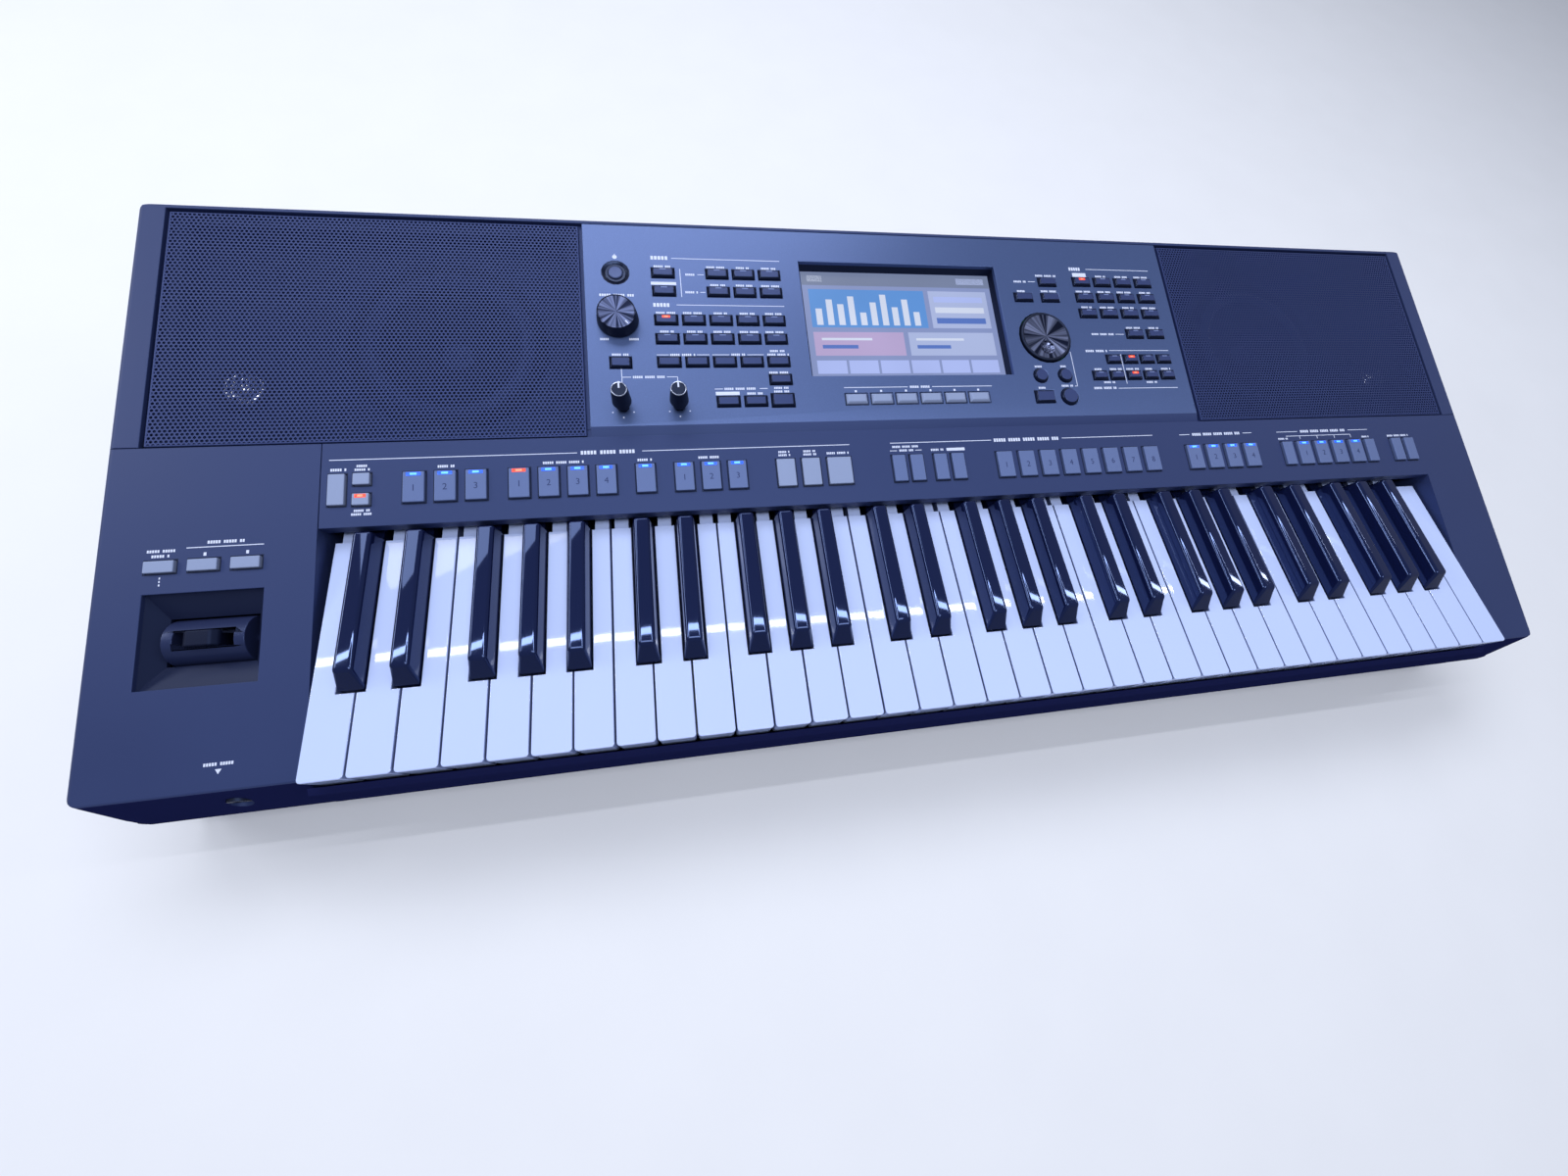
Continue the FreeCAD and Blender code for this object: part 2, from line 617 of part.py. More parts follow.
def rectangle(x0, x1, y0, y1, z):
    """The corners of a level rectangle."""
    return [Vector(x0, y0, z), Vector(x1, y0, z), Vector(x1, y1, z), Vector(x0, y1, z)]


def display_screen():
    """The touch screen, under its bezel."""
    glass = deck_block(-WINDOW_X - 4, WINDOW_X + 4, WINDOW_FRONT - 4, WINDOW_REAR + 4, LCD_TOP - 2, LCD_TOP)
    tray = deck_block(-WINDOW_X - 2, WINDOW_X + 2, WINDOW_FRONT - 2, WINDOW_REAR + 2, LCD_TOP - 6, LCD_TOP - 2)
    return fuse([glass, tray])


def panel_boards():
    """The switch boards under the fascia and the strip, with the bodies of the rotary controls."""
    top = FASCIA_BOARD_TOP
    board = block(-FASCIA_X + 9, FASCIA_X - 9, 12, 148, top - BOARD_THICK, top)
    board = board.cut(block(-WINDOW_X - 6, WINDOW_X + 6, WINDOW_FRONT - 6, 150, top - 10, top + 10))
    bodies = []
    bores = []
    for x, v in (VOLUME_AT, DIAL_AT, *LIVE_AT):
        height = DIAL_UNDER - 0.6 if (x, v) == DIAL_AT else LEDGE_TOP
        bodies.append(block(x - 6, x + 6, v - 6, v + 6, top, height))
        bores.append(Part.makeCylinder(SHAFT_R + SHAFT_PLAY, 20, Vector(x, v, top - 10)))
    fascia_board = on_deck(fuse([board] + bodies).cut(bores))
    low = STRIP_BOARD_TOP
    strip_board = deck_block(KEY_OPEN_LEFT + 6, KEY_OPEN_RIGHT - 6, -51, -11, low - BOARD_THICK, low)
    return [fascia_board, strip_board]


def knob(at, profile, sides):
    """A knob on a round shaft that goes down into its control."""
    end = FASCIA_BOARD_TOP - BOARD_THICK
    shaft = Part.makeCylinder(SHAFT_R, profile[0][1] - end + 1, Vector(*at, end))
    return fuse([turned(profile, *at, sides), shaft])


def volume_knob():
    """A low round knob with a tapered side."""
    radius = VOLUME_R
    top = VOLUME_TOP
    face = VOLUME_FACE_R
    profile = [(radius, KNOB_GAP), (radius, 2.0), (face + 0.6, top - 0.6), (face, top)]
    return on_deck(knob(VOLUME_AT, profile, KNOB_SIDES))


def live_knob(at):
    """A tall slim knob on a narrower stem, with a pointer groove across its rear edge."""
    radius = LIVE_R
    top = LIVE_TOP
    profile = [(LIVE_STEM_R, KNOB_GAP), (LIVE_STEM_R, LIVE_STEM), (radius, LIVE_STEM), (LIVE_FACE_R, top)]
    x, v = at
    groove = block(x - 0.6, x + 0.6, v + 1.0, v + radius + 1, top - 1.0, top + 1)
    return on_deck(knob(at, profile, ROUND_SIDES).cut(groove))


def data_dial():
    """The data wheel, almost level with the fascia, with a finger dimple in its face."""
    radius = DIAL_R
    top = DIAL_TOP
    profile = [(radius, DIAL_UNDER), (radius, top - 0.8), (radius - 1.4, top), (radius - 2.2, top - 0.3)]
    body = knob(DIAL_AT, profile, KNOB_SIDES)
    x, v = DIAL_AT
    bearing = math.radians(DIMPLE_BEARING)
    reach = radius * 0.46
    dish = [(DIMPLE_R * 0.5, top - 2.4), (DIMPLE_R * 0.85, top - 1.6), (DIMPLE_R, top - 0.3), (DIMPLE_R, top + 1)]
    dimple = turned(dish, x + reach * math.cos(bearing), v + reach * math.sin(bearing), ROUND_SIDES)
    return on_deck(body.cut(dimple))


def power_button():
    """The round push switch inside its ring."""
    return round_button(*POWER_AT, POWER_R, FASCIA_THICK, 0.6, 0.5)


def joystick_housing():
    """The tapered pocket under the left end, with the two bearings that carry the barrel."""
    top = -WALL
    half_x = POCKET_X / 2
    half_v = POCKET_V / 2
    floor_x = POCKET_FLOOR_X / 2
    floor_v = POCKET_FLOOR_V / 2
    floor = POCKET_FLOOR_H
    flange = block(-half_x - 5, half_x + 5, -half_v - 5, half_v + 5, top - 2, top)
    rim = rectangle(-half_x - 2, half_x + 2, -half_v - 2, half_v + 2, top - 1)
    foot = rectangle(-floor_x - 2, floor_x + 2, -floor_v - 2, floor_v + 2, floor - 2)
    funnel = skin([foot, rim])
    low = rectangle(-floor_x, floor_x, -floor_v, floor_v, floor)
    high = rectangle(-half_x, half_x, -half_v, half_v, top)
    inside = skin([low, high])
    through = block(-floor_x, floor_x, -floor_v, floor_v, floor - 5, floor)
    near = BARREL_LENGTH / 2 + 1.5
    bearings = []
    for side in (-1, 1):
        span = mirrored((near, near + 4.0), side)
        bearings.append(block(*span, -8, 8, STICK_H - 7, floor - 1))
    bore = Part.makeCylinder(TRUNNION_R + SHAFT_PLAY, 80, Vector(-40, 0, STICK_H), Vector(1, 0, 0))
    body = fuse([flange.cut(inside), funnel.cut(inside)] + bearings)
    body = body.cut([inside, through, bore])
    return on_deck(body.translated(Vector(STICK_X, STICK_V, 0)))


def joystick_barrel():
    """The drum that rocks up and down, slotted for the lever, on two trunnions."""
    half = BARREL_LENGTH / 2
    drum = post(0, 0, -half, half, BARREL_R, KNOB_SIDES)
    drum.Placement = Placement(Vector(0, 0, 0), Rotation(Vector(0, 1, 0), 90))
    pins = Part.makeCylinder(TRUNNION_R, BARREL_LENGTH + 11, Vector(-half - 5.5, 0, 0), Vector(1, 0, 0))
    slot = block(-SLOT_X / 2, SLOT_X / 2, -SLOT_V / 2, SLOT_V / 2, -20, 20)
    bore = Part.makeCylinder(LEVER_PIN_R + SHAFT_PLAY, 40, Vector(0, -20, 0), Vector(0, 1, 0))
    body = fuse([drum, pins]).cut([slot, bore])
    return on_deck(body.translated(Vector(STICK_X, STICK_V, STICK_H)))


def joystick_lever():
    """The finger lever, which swings left and right in the barrel's slot."""
    rise = LEVER_TOP - STICK_H
    half = LEVER_X / 2
    outline = [(-half + 3, -5.5), (half - 3, -5.5), (half, -1), (half, rise - 3), (half - 3, rise)]
    outline += [(-half + 3, rise), (-half, rise - 3), (-half, -1)]
    corners = [Vector(x, -LEVER_V / 2, h) for x, h in outline]
    blade = polygon_face(corners).extrude(Vector(0, LEVER_V, 0))
    pin = Part.makeCylinder(LEVER_PIN_R, 19, Vector(0, -9.5, 0), Vector(0, 1, 0))
    return on_deck(fuse([blade, pin]).translated(Vector(STICK_X, STICK_V, STICK_H)))


def tail_spans():
    """Where each key passes between its neighbours behind the heads, from the octave's left edge."""
    group_c = (3 * KEY_PITCH - 2 * BLACK_SLOT) / 3
    group_f = (4 * KEY_PITCH - 3 * BLACK_SLOT) / 4
    spans = {}
    edge = 0.0
    for name in ("C", "C#", "D", "D#", "E", "F", "F#", "G", "G#", "A", "A#", "B"):
        if "#" in name:
            width = BLACK_SLOT
        elif name in "CDE":
            width = group_c
        else:
            width = group_f
        spans[name] = (edge, edge + width)
        edge += width
    return spans


SPANS = tail_spans()
NATURALS = "CDEFGAB"


def key_tail(centre):
    """The narrow rear of a key, with the saddle that rides on the pivot rod."""
    half = TAIL_WIDTH / 2
    bar = block(centre - half, centre + half, KEY_STEP_Y - KEY_WALL, TAIL_END, TAIL_BOTTOM, TAIL_TOP)
    reach = ROD_R + ROD_PLAY
    saddle = block(centre - half, centre + half, PIVOT_Y - reach, PIVOT_Y + reach, TAIL_BOTTOM, PIVOT_Z + reach)
    return bar.cut(saddle)


def white_key(name, octave, top_key=False):
    """A natural key: a moulding with a hollow head, notched beside the sharps, with a deeper front lip."""
    left = KEYS_LEFT + octave * 7 * KEY_PITCH
    index = NATURALS.index(name)
    x0 = left + index * KEY_PITCH + KEY_GAP / 2
    x1 = left + (index + 1) * KEY_PITCH - KEY_GAP / 2
    tail_left = max(x0, left + SPANS[name][0])
    tail_right = x1 if top_key else min(x1, left + SPANS[name][1])
    outline = [(x0, KEY_FRONT), (x1, KEY_FRONT)]
    if tail_right < x1:
        outline += [(x1, NOTCH_Y), (tail_right, NOTCH_Y)]
    outline += [(tail_right, KEY_STEP_Y), (tail_left, KEY_STEP_Y)]
    if tail_left > x0:
        outline += [(tail_left, NOTCH_Y), (x0, NOTCH_Y)]
    corners = [Vector(x, y, KEY_SKIRT_BOTTOM) for x, y in outline]
    shell = polygon_face(corners).extrude(Vector(0, 0, KEY_TOP - KEY_SKIRT_BOTTOM))
    hollow = block(
        x0 + KEY_WALL, x1 - KEY_WALL, KEY_FRONT + KEY_WALL, NOTCH_Y - KEY_WALL,
        KEY_SKIRT_BOTTOM - 1, KEY_TOP - KEY_WALL,
    )
    shell = shell.cut(hollow)
    lip = block(x0, x1, KEY_FRONT, KEY_FRONT + KEY_WALL, KEY_LIP_BOTTOM, KEY_SKIRT_BOTTOM)
    return fuse([shell, lip, key_tail(left + sum(SPANS[name]) / 2)])


def black_key(name, octave):
    """A sharp: a tapered head with a sloping front, over a narrower body between the naturals."""
    centre = KEYS_LEFT + octave * 7 * KEY_PITCH + sum(SPANS[name]) / 2
    base = BLACK_BASE / 2
    top = BLACK_TOP / 2
    foot = rectangle(centre - base, centre + base, BLACK_FRONT, BLACK_REAR, KEY_TOP)
    crown_z = KEY_TOP + BLACK_HEIGHT
    crown = rectangle(centre - top, centre + top, BLACK_FRONT + BLACK_FRONT_RUN, BLACK_REAR, crown_z)
    head = skin([foot, crown])
    half = base - 0.4
    body = block(centre - half, centre + half, BLACK_FRONT, BLACK_REAR, BLACK_BODY_BOTTOM, KEY_TOP)
    return fuse([head, body, key_tail(centre)])


KEY_GROUPS = {"cegb": ("C", "E", "G", "B"), "dfa": ("D", "F", "A"), "sharps": ("C#", "D#", "F#", "G#", "A#")}


def key_group(octave, group):
    """The keys of one octave that share a file: no two of them are neighbours."""
    if group == "sharps":
        return [black_key(name, octave) for name in KEY_GROUPS[group]]
    keys = [white_key(name, octave) for name in KEY_GROUPS[group]]
    if octave == OCTAVES - 1 and group == "cegb":
        keys.append(white_key("C", OCTAVES, top_key=True))
    return keys


def blade(x, y0, y1, top):
    """An upright tab that stands on the key bed."""
    return block(x - BLADE_THICK / 2, x + BLADE_THICK / 2, y0, y1, FRAME_BOTTOM + 1, top)


def key_frame():
    """The key bed: a folded plate with a stop rail, a guide blade for each natural and bearers for the rod."""
    x0 = KEY_OPEN_LEFT + 1.5
    x1 = KEY_OPEN_RIGHT - 1.5
    section = [
        (FRAME_FRONT, FRAME_BOTTOM), (FRAME_REAR, FRAME_BOTTOM), (FRAME_REAR, 66.0), (FRAME_REAR - 2.5, 66.0),
        (FRAME_REAR - 2.5, FRAME_TOP), (STOP_REAR, FRAME_TOP), (STOP_REAR, STOP_TOP), (FRAME_FRONT, STOP_TOP),
    ]
    pieces = [yz_bar(section, x0, x1)]
    for octave in range(OCTAVES + 1):
        left = KEYS_LEFT + octave * 7 * KEY_PITCH
        count = len(NATURALS) if octave < OCTAVES else 1
        for centre in spaced(left + KEY_PITCH / 2, count, KEY_PITCH):
            pieces.append(blade(centre, GUIDE_Y - 4, GUIDE_Y + 4, GUIDE_TOP))
        pieces.append(blade(left + 0.3, PIVOT_Y - 7, FRAME_REAR - 1, BEARER_TOP))
    right = KEYS_LEFT + (OCTAVES * 7 + 1) * KEY_PITCH
    pieces.append(blade(right - 1.6, PIVOT_Y - 7, FRAME_REAR - 1, BEARER_TOP))
    seat = block(x0, x1, PIVOT_Y - ROD_R, PIVOT_Y + ROD_R, PIVOT_Z - ROD_R, BEARER_TOP)
    return fuse(pieces).cut(seat)


def key_pivot_rod():
    """The steel rod on which every key rocks."""
    x0 = KEYS_LEFT - 1.5
    length = (OCTAVES * 7 + 1) * KEY_PITCH + 1.5
    return Part.makeCylinder(ROD_R, length, Vector(x0, PIVOT_Y, PIVOT_Z), Vector(1, 0, 0))


def jack_plate():
    """The plate behind the rear window that carries the sockets."""
    plate = block(-PLATE_X, PLATE_X, PLATE_FACE - 2, PLATE_FACE, SOCKET_Z - 13, SEAM_Z - 0.6)
    holes = [y_bar(x, SOCKET_Z, PLATE_FACE - 5, PLATE_FACE + 5, 5.7) for x in PHONE_XS + [INLET_X]]
    for x, width, height in ((WIDE_DATA_X, 15.4, 8.0), (SQUARE_DATA_X, 12.8, 12.8)):
        holes.append(slot(x, width, height, PLATE_FACE - 5, PLATE_FACE + 5))
    return plate.cut(holes)


def y_bar(x, z, y0, y1, radius):
    """A round bar that runs front to back."""
    return Part.makeCylinder(radius, y1 - y0, Vector(x, y0, z), Vector(0, 1, 0))


def nut(x, z, y0, y1, radius, sides=6):
    """A flat-sided bar that runs front to back."""
    bar = post(0, 0, 0, y1 - y0, radius, sides)
    bar.Placement = Placement(Vector(x, y0, z), Rotation(Vector(1, 0, 0), -90))
    return bar


def slot(x, width, height, y0, y1):
    """A rectangular bar that runs front to back, centred on the row of sockets."""
    return block(x - width / 2, x + width / 2, y0, y1, SOCKET_Z - height / 2, SOCKET_Z + height / 2)


def phone_sockets():
    """Round sockets for 6.35 mm plugs: five at the back and the headphone socket at the front."""
    sockets = []
    for x in PHONE_XS:
        body = block(x - 8, x + 8, PLATE_FACE - 30, PLATE_FACE - 2, SOCKET_Z - 8, SOCKET_Z + 8)
        nose = nut(x, SOCKET_Z, PLATE_FACE - 3, PLATE_FACE + 1.6, 4.8)
        bore = y_bar(x, SOCKET_Z, PLATE_FACE + 1.6 - PHONE_DEPTH, PLATE_FACE + 5, PHONE_R)
        sockets.append(fuse([body, nose]).cut(bore))
    front = OUTER.common(y_bar(HEADPHONES_X, HEADPHONES_Z, -DEPTH, 0, 1.0)).BoundBox.YMin + 0.5
    body = block(HEADPHONES_X - 8, HEADPHONES_X + 8, front + 6, front + 32, HEADPHONES_Z - 8, HEADPHONES_Z + 8)
    nose = nut(HEADPHONES_X, HEADPHONES_Z, front, front + 8, 5.5, ROUND_SIDES)
    bore = y_bar(HEADPHONES_X, HEADPHONES_Z, front - 5, front + PHONE_DEPTH, PHONE_R)
    sockets.append(fuse([body, nose]).cut(bore))
    return sockets


def data_sockets():
    """A wide and a square data socket, and the round low-voltage power inlet with its pin."""
    front = PLATE_FACE + 0.6
    sockets = []
    for x, width, height, tongue in ((WIDE_DATA_X, 15.0, 7.6, 1.8), (SQUARE_DATA_X, 12.4, 12.4, 3.2)):
        shell = slot(x, width, height, front - 18, front)
        mouth = slot(x, width - 1.4, height - 1.4, front - 14, front + 1)
        blade = slot(x, width - 4.0, tongue, front - 16, front - 2)
        if tongue < 2:
            blade.translate(Vector(0, 0, 1.6))
        sockets.append(fuse([shell.cut(mouth), blade]))
    body = block(INLET_X - 7, INLET_X + 7, front - 16, PLATE_FACE - 2, SOCKET_Z - 7, SOCKET_Z + 7)
    nose = nut(INLET_X, SOCKET_Z, PLATE_FACE - 3, front, 4.8)
    bore = nut(INLET_X, SOCKET_Z, front - 10, front + 5, 3.0, ROUND_SIDES)
    pin = nut(INLET_X, SOCKET_Z, front - 12, front - 1, 1.0)
    sockets.append(fuse([fuse([body, nose]).cut(bore), pin]))
    return sockets


def main_board():
    """The main circuit board on its posts, with the amplifier's finned heat sink."""
    board = block(-235, 235, 32, 178, MAIN_BOARD_Z, MAIN_BOARD_Z + BOARD_THICK)
    top = MAIN_BOARD_Z + BOARD_THICK
    sink = [block(120, 190, 60, 100, top, top + 4)]
    for x in spaced(121.0, 8, 9.6):
        sink.append(block(x, x + 1.8, 60, 100, top, top + 22))
    chips = [block(-60, -32, 90, 118, top, top + 2), block(10, 24, 80, 104, top, top + 2)]
    return fuse([board] + sink + chips)


def rubber_feet():
    """Five round feet under the tray."""
    feet = []
    for x, y in FEET:
        feet.append(skin([ring(x, y, 0, FOOT_R - 1, INNER_SIDES), ring(x, y, FOOT_HEIGHT, FOOT_R, INNER_SIDES)]))
    return feet


def case_screws():
    """Pan-head screws that hold the top pieces to the tray."""
    screws = []
    for x, y in LEFT_SCREWS + RIGHT_SCREWS + REAR_SCREWS:
        head = post(x, y, FOOT_HEIGHT - SCREW_HEAD, FOOT_HEIGHT, 2.4 * SCREW_R)
        screws.append(fuse([head, post(x, y, FOOT_HEIGHT - 1, SCREW_END, SCREW_R)]))
    return screws


def save(name, pieces):
    """One file for a node: a single solid, or separate solids of a kind."""
    if not isinstance(pieces, list):
        pieces = [pieces]
    solids = []
    for piece in pieces:
        solids += piece.Solids
    for solid in solids:
        if not solid.isValid():
            print("not valid:", name)
    shape = solids[0] if len(solids) == 1 else Part.makeCompound(solids)
    shape.exportStep("parts/" + name + ".step")
    print(name, len(solids), round(sum(solid.Volume for solid in solids)))


def main():
    """Every piece of the keyboard, one file each."""
    os.makedirs("parts", exist_ok=True)
    save("bottom_case", bottom_case())
    save("front_deck", front_deck())
    save("left_end_block", left_end_block())
    save("upper_frame", upper_frame())
    save("fascia_panel", fascia_panel())
    save("display_bezel", display_bezel())
    save("display_screen", display_screen())
    save("left_speaker_grille", speaker_grille(-1))
    save("right_speaker_grille", speaker_grille(1))
    save("woofers", woofers())
    save("tweeters", tweeters())
    save("key_frame", key_frame())
    save("key_pivot_rod", key_pivot_rod())
    save("main_board", main_board())
    save("panel_boards", panel_boards())
    save("jack_plate", jack_plate())
    save("phone_sockets", phone_sockets())
    save("data_sockets", data_sockets())
    save("rubber_feet", rubber_feet())
    save("case_screws", case_screws())
    save("joystick_housing", joystick_housing())
    save("joystick_barrel", joystick_barrel())
    save("joystick_lever", joystick_lever())
    save("volume_knob", volume_knob())
    for number, at in enumerate(LIVE_AT, 1):
        save(f"live_knob_{number}", live_knob(at))
    save("data_dial", data_dial())
    save("power_button", power_button())
    for octave in range(OCTAVES):
        for group in KEY_GROUPS:
            save(f"octave_{octave + 1}_{group}", key_group(octave, group))
    for name, buttons in STRIP_BUTTONS.items():
        save(name, [button(*place, WALL, STRIP_CHAMFER) for place in buttons])
    save("cheek_buttons", [button(*place, WALL, STRIP_CHAMFER) for place in CHEEK_BUTTONS])
    for name, buttons in FASCIA_BUTTONS.items():
        caps = [button(*place, FASCIA_THICK, FASCIA_CHAMFER) for place in buttons]
        if name == "menu_buttons":
            caps += [round_button(*place, FASCIA_THICK, BUTTON_PROUD, FASCIA_CHAMFER) for place in ROUND_BUTTONS]
        save(name, caps)


main()
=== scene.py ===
"""Looks of the arranger keyboard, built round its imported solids. Laid out as an add-on, run as a script."""

import math

import bmesh
import bpy
from bpy.props import FloatProperty, FloatVectorProperty, PointerProperty
from mathutils import Matrix, Vector


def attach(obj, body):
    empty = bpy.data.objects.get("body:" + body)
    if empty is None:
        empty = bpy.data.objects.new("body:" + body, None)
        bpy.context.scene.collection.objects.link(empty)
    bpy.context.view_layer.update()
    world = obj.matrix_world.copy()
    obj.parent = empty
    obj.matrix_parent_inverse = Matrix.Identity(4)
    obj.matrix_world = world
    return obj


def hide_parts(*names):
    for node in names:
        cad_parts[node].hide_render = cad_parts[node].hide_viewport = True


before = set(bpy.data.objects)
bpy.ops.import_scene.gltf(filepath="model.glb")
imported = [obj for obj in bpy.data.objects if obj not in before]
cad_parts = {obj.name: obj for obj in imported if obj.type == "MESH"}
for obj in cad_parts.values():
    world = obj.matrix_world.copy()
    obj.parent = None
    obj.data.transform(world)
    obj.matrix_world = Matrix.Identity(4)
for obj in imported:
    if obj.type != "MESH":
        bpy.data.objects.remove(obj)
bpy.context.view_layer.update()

bl_info = {
    "name": "Arranger keyboard",
    "version": (1, 0, 0),
    "blender": (4, 5, 0),
    "location": "View3D > Sidebar > Keyboard",
    "description": "Mouldings, keys, buttons, knobs, grilles, print and stage of an arranger keyboard",
    "category": "Add Mesh",
}

# Shapes are drawn in millimetres, either in the instrument's own frame or on its sloping deck
# (x across, v up the slope, h square to it).
MILLI = Matrix.Scale(0.001, 4)
DECK_ORIGIN = Vector((0, -7.8, 109.8))
DECK_SLOPE = math.radians(10)
DECK = MILLI @ Matrix.Translation(DECK_ORIGIN) @ Matrix.Rotation(DECK_SLOPE, 4, "X")
DECK_NORMAL = Vector((0, -math.sin(DECK_SLOPE), math.cos(DECK_SLOPE)))
FULL_TURN = 2 * math.pi
# Edges that turn by more than SHARP may be eased, and those by more than CREASE stay crisp in the shading.
SHARP = math.radians(25)
CREASE = math.radians(28)
# The room's light is blue in the photo and white on the stage, so the sheen of plastics is tinted instead.
BLUE_SHEEN = "#9DB9FF"

# Places and heights on the deck. FLUSH and above is the deck's own face.
FLUSH = -0.05
LCD_TOP = -7.0
GRILLE = (240.2, 490.2, 0.7, 163.0)
GRILLE_TOP = -0.2
LEDGE_TOP = -3.0
BAFFLE_TOP = -14.0
WOOFER_AT = (329.0, 76.0)
TWEETER_AT = (451.0, 46.0)
VOLUME_AT = (-215.8, 87.5)
LIVE_AT = ((-215.6, 21.4), (-177.8, 21.4))
DIAL_AT = (114.4, 75.4)
POWER_AT = (-215.8, 125.5)
BUTTON_TOP = 1.8
HALF_WIDTH = 508.5
DECK_FRONT = -200.9
DECK_REAR = 167.9
# How far the case's sides, front and rear lean out for each millimetre of height, square to the deck
SIDE_LEAN = 0.18
FRONT_LEAN = 0.5
REAR_LEAN = -0.69

# Places and heights in the instrument's own frame
SEAM_Z = 46.0
SLIP_Z = 71.0
CASE_REAR = 215.5
KEY_TOP = 88.5
KEY_FRONT = -207.5

STRIP_GROUPS = {
    "style_utility_buttons": "button_light",
    "intro_buttons": "button_grey",
    "main_break_buttons": "button_grey",
    "ending_buttons": "button_grey",
    "sync_start_buttons": "button_light",
    "registration_buttons": "button_grey",
    "one_touch_buttons": "button_grey",
    "multi_pad_buttons": "button_grey",
    "octave_buttons": "button_grey",
    "cheek_buttons": "button_light",
    "assignable_buttons": "button_light",
}
PANEL_GROUPS = (
    "song_buttons", "style_buttons", "tempo_buttons", "menu_buttons", "voice_buttons", "part_buttons",
)
LENSED_GROUPS = ("song_buttons", "style_buttons", "voice_buttons", "part_buttons")


def linear(code):
    """An sRGB hex colour as linear RGBA."""
    parts = [int(code[at : at + 2], 16) / 255 for at in (1, 3, 5)]
    return tuple(p / 12.92 if p <= 0.04045 else ((p + 0.055) / 1.055) ** 2.4 for p in parts) + (1.0,)


def colour(name, about, code):
    """A colour that a user may change."""
    return FloatVectorProperty(
        name=name, description=about, subtype="COLOR", size=4, min=0, max=1, default=linear(code)
    )


def length(name, about, metres):
    """A length that a user may change."""
    return FloatProperty(name=name, description=about, unit="LENGTH", precision=5, min=0, default=metres)


class KeyboardColours(bpy.types.PropertyGroup):
    """Colours of the finishes."""

    case: colour("Case", "Moulded case", "#2A355E")
    # Partly a darker moulding, partly painted shade: this colour also dresses the front faces, which lie in
    # shade
    tray: colour("Tray", "Moulded tray, key slip and front", "#1A1F48")
    panel: colour("Panel", "Metallic paint of the control panel", "#485C8E")
    grille: colour("Grille", "Paint of the speaker grilles", "#2D3866")
    # A pale blue: the keys are white, and the blue of the room's light is painted into their colour
    naturals: colour("Naturals", "White keys", "#B5C7F8")
    sharps: colour("Sharps", "Black keys", "#10173A")
    grey_caps: colour("Grey caps", "Buttons of the strip", "#596997")
    light_caps: colour("Light caps", "Pale buttons", "#8492B6")
    dark_caps: colour("Dark caps", "Tops of the panel buttons", "#2E3965")
    ink: colour("Ink", "Printed rules and marks", "#CBD5F2")
    blue_lamp: colour("Blue lamps", "Lit lamps of the strip", "#1B5BFF")
    red_lamp: colour("Red lamps", "Lit lamps of chosen buttons", "#FF4A36")
    floor: colour("Floor", "Studio floor", "#DEE2EC")


class KeyboardSizes(bpy.types.PropertyGroup):
    """Sizes of the finishing work."""

    deck_edge: length("Deck edge", "Rounding of the openings in the deck", 0.0004)
    deck_corner: length("Deck corner", "Rounding of the deck's front corners, seen from above", 0.010)
    rear_corner: length("Rear corner", "Rounding of the deck's rear corners, seen from above", 0.007)
    rear_edge: length("Rear edge", "Rounding of the edges down the rear corners", 0.0012)
    slip_edge: length("Slip edge", "Rounding of the key slip's top", 0.0009)
    seam: length("Seam", "Rounding on both sides of the seam round the case", 0.0005)
    cap_edge: length("Cap edge", "Rounding of the strip buttons", 0.00055)
    key_edge: length("Key edge", "Rounding of the white keys", 0.0007)
    key_corner: length("Key corner", "Rounding of a white key's front corners", 0.0022)
    sharp_edge: length("Sharp edge", "Rounding of the black keys", 0.0020)
    hole_pitch: length("Hole pitch", "Distance between the grille's holes", 0.0026)
    hole_web: length("Hole web", "Metal left between two holes", 0.0009)
    print_height: length("Print height", "Thickness of the printed ink", 0.00005)
    rule_width: length("Rule width", "Width of the printed rules", 0.0005)


def mm(name):
    """A size in use, in millimetres."""
    return getattr(bpy.context.scene.keyboard_sizes, name) * 1000


def colours():
    """The colours in use."""
    return bpy.context.scene.keyboard_colours


# Materials


def add_node(tree, kind, inputs, **settings):
    """Adds a node with its settings, and gives its inputs values or links."""
    node = tree.nodes.new(kind)
    for name, value in settings.items():
        setattr(node, name, value)
    for key, value in inputs.items():
        if isinstance(value, bpy.types.NodeSocket):
            tree.links.new(value, node.inputs[key])
        else:
            node.inputs[key].default_value = value
    return node


def shaded(base, share):
    """A colour made darker or lighter."""
    return tuple(min(1.0, part * share) for part in base[:3]) + (1.0,)


def start_material(name, values):
    """A material with its shader's constant values, its tree, its shader and its place in metres."""
    made = bpy.data.materials.new(name)
    made.use_nodes = True
    tree = made.node_tree
    shader = tree.nodes["Principled BSDF"]
    for socket, value in values.items():
        shader.inputs[socket].default_value = value
    return made, tree, shader, add_node(tree, "ShaderNodeTexCoord", {}).outputs["Object"]


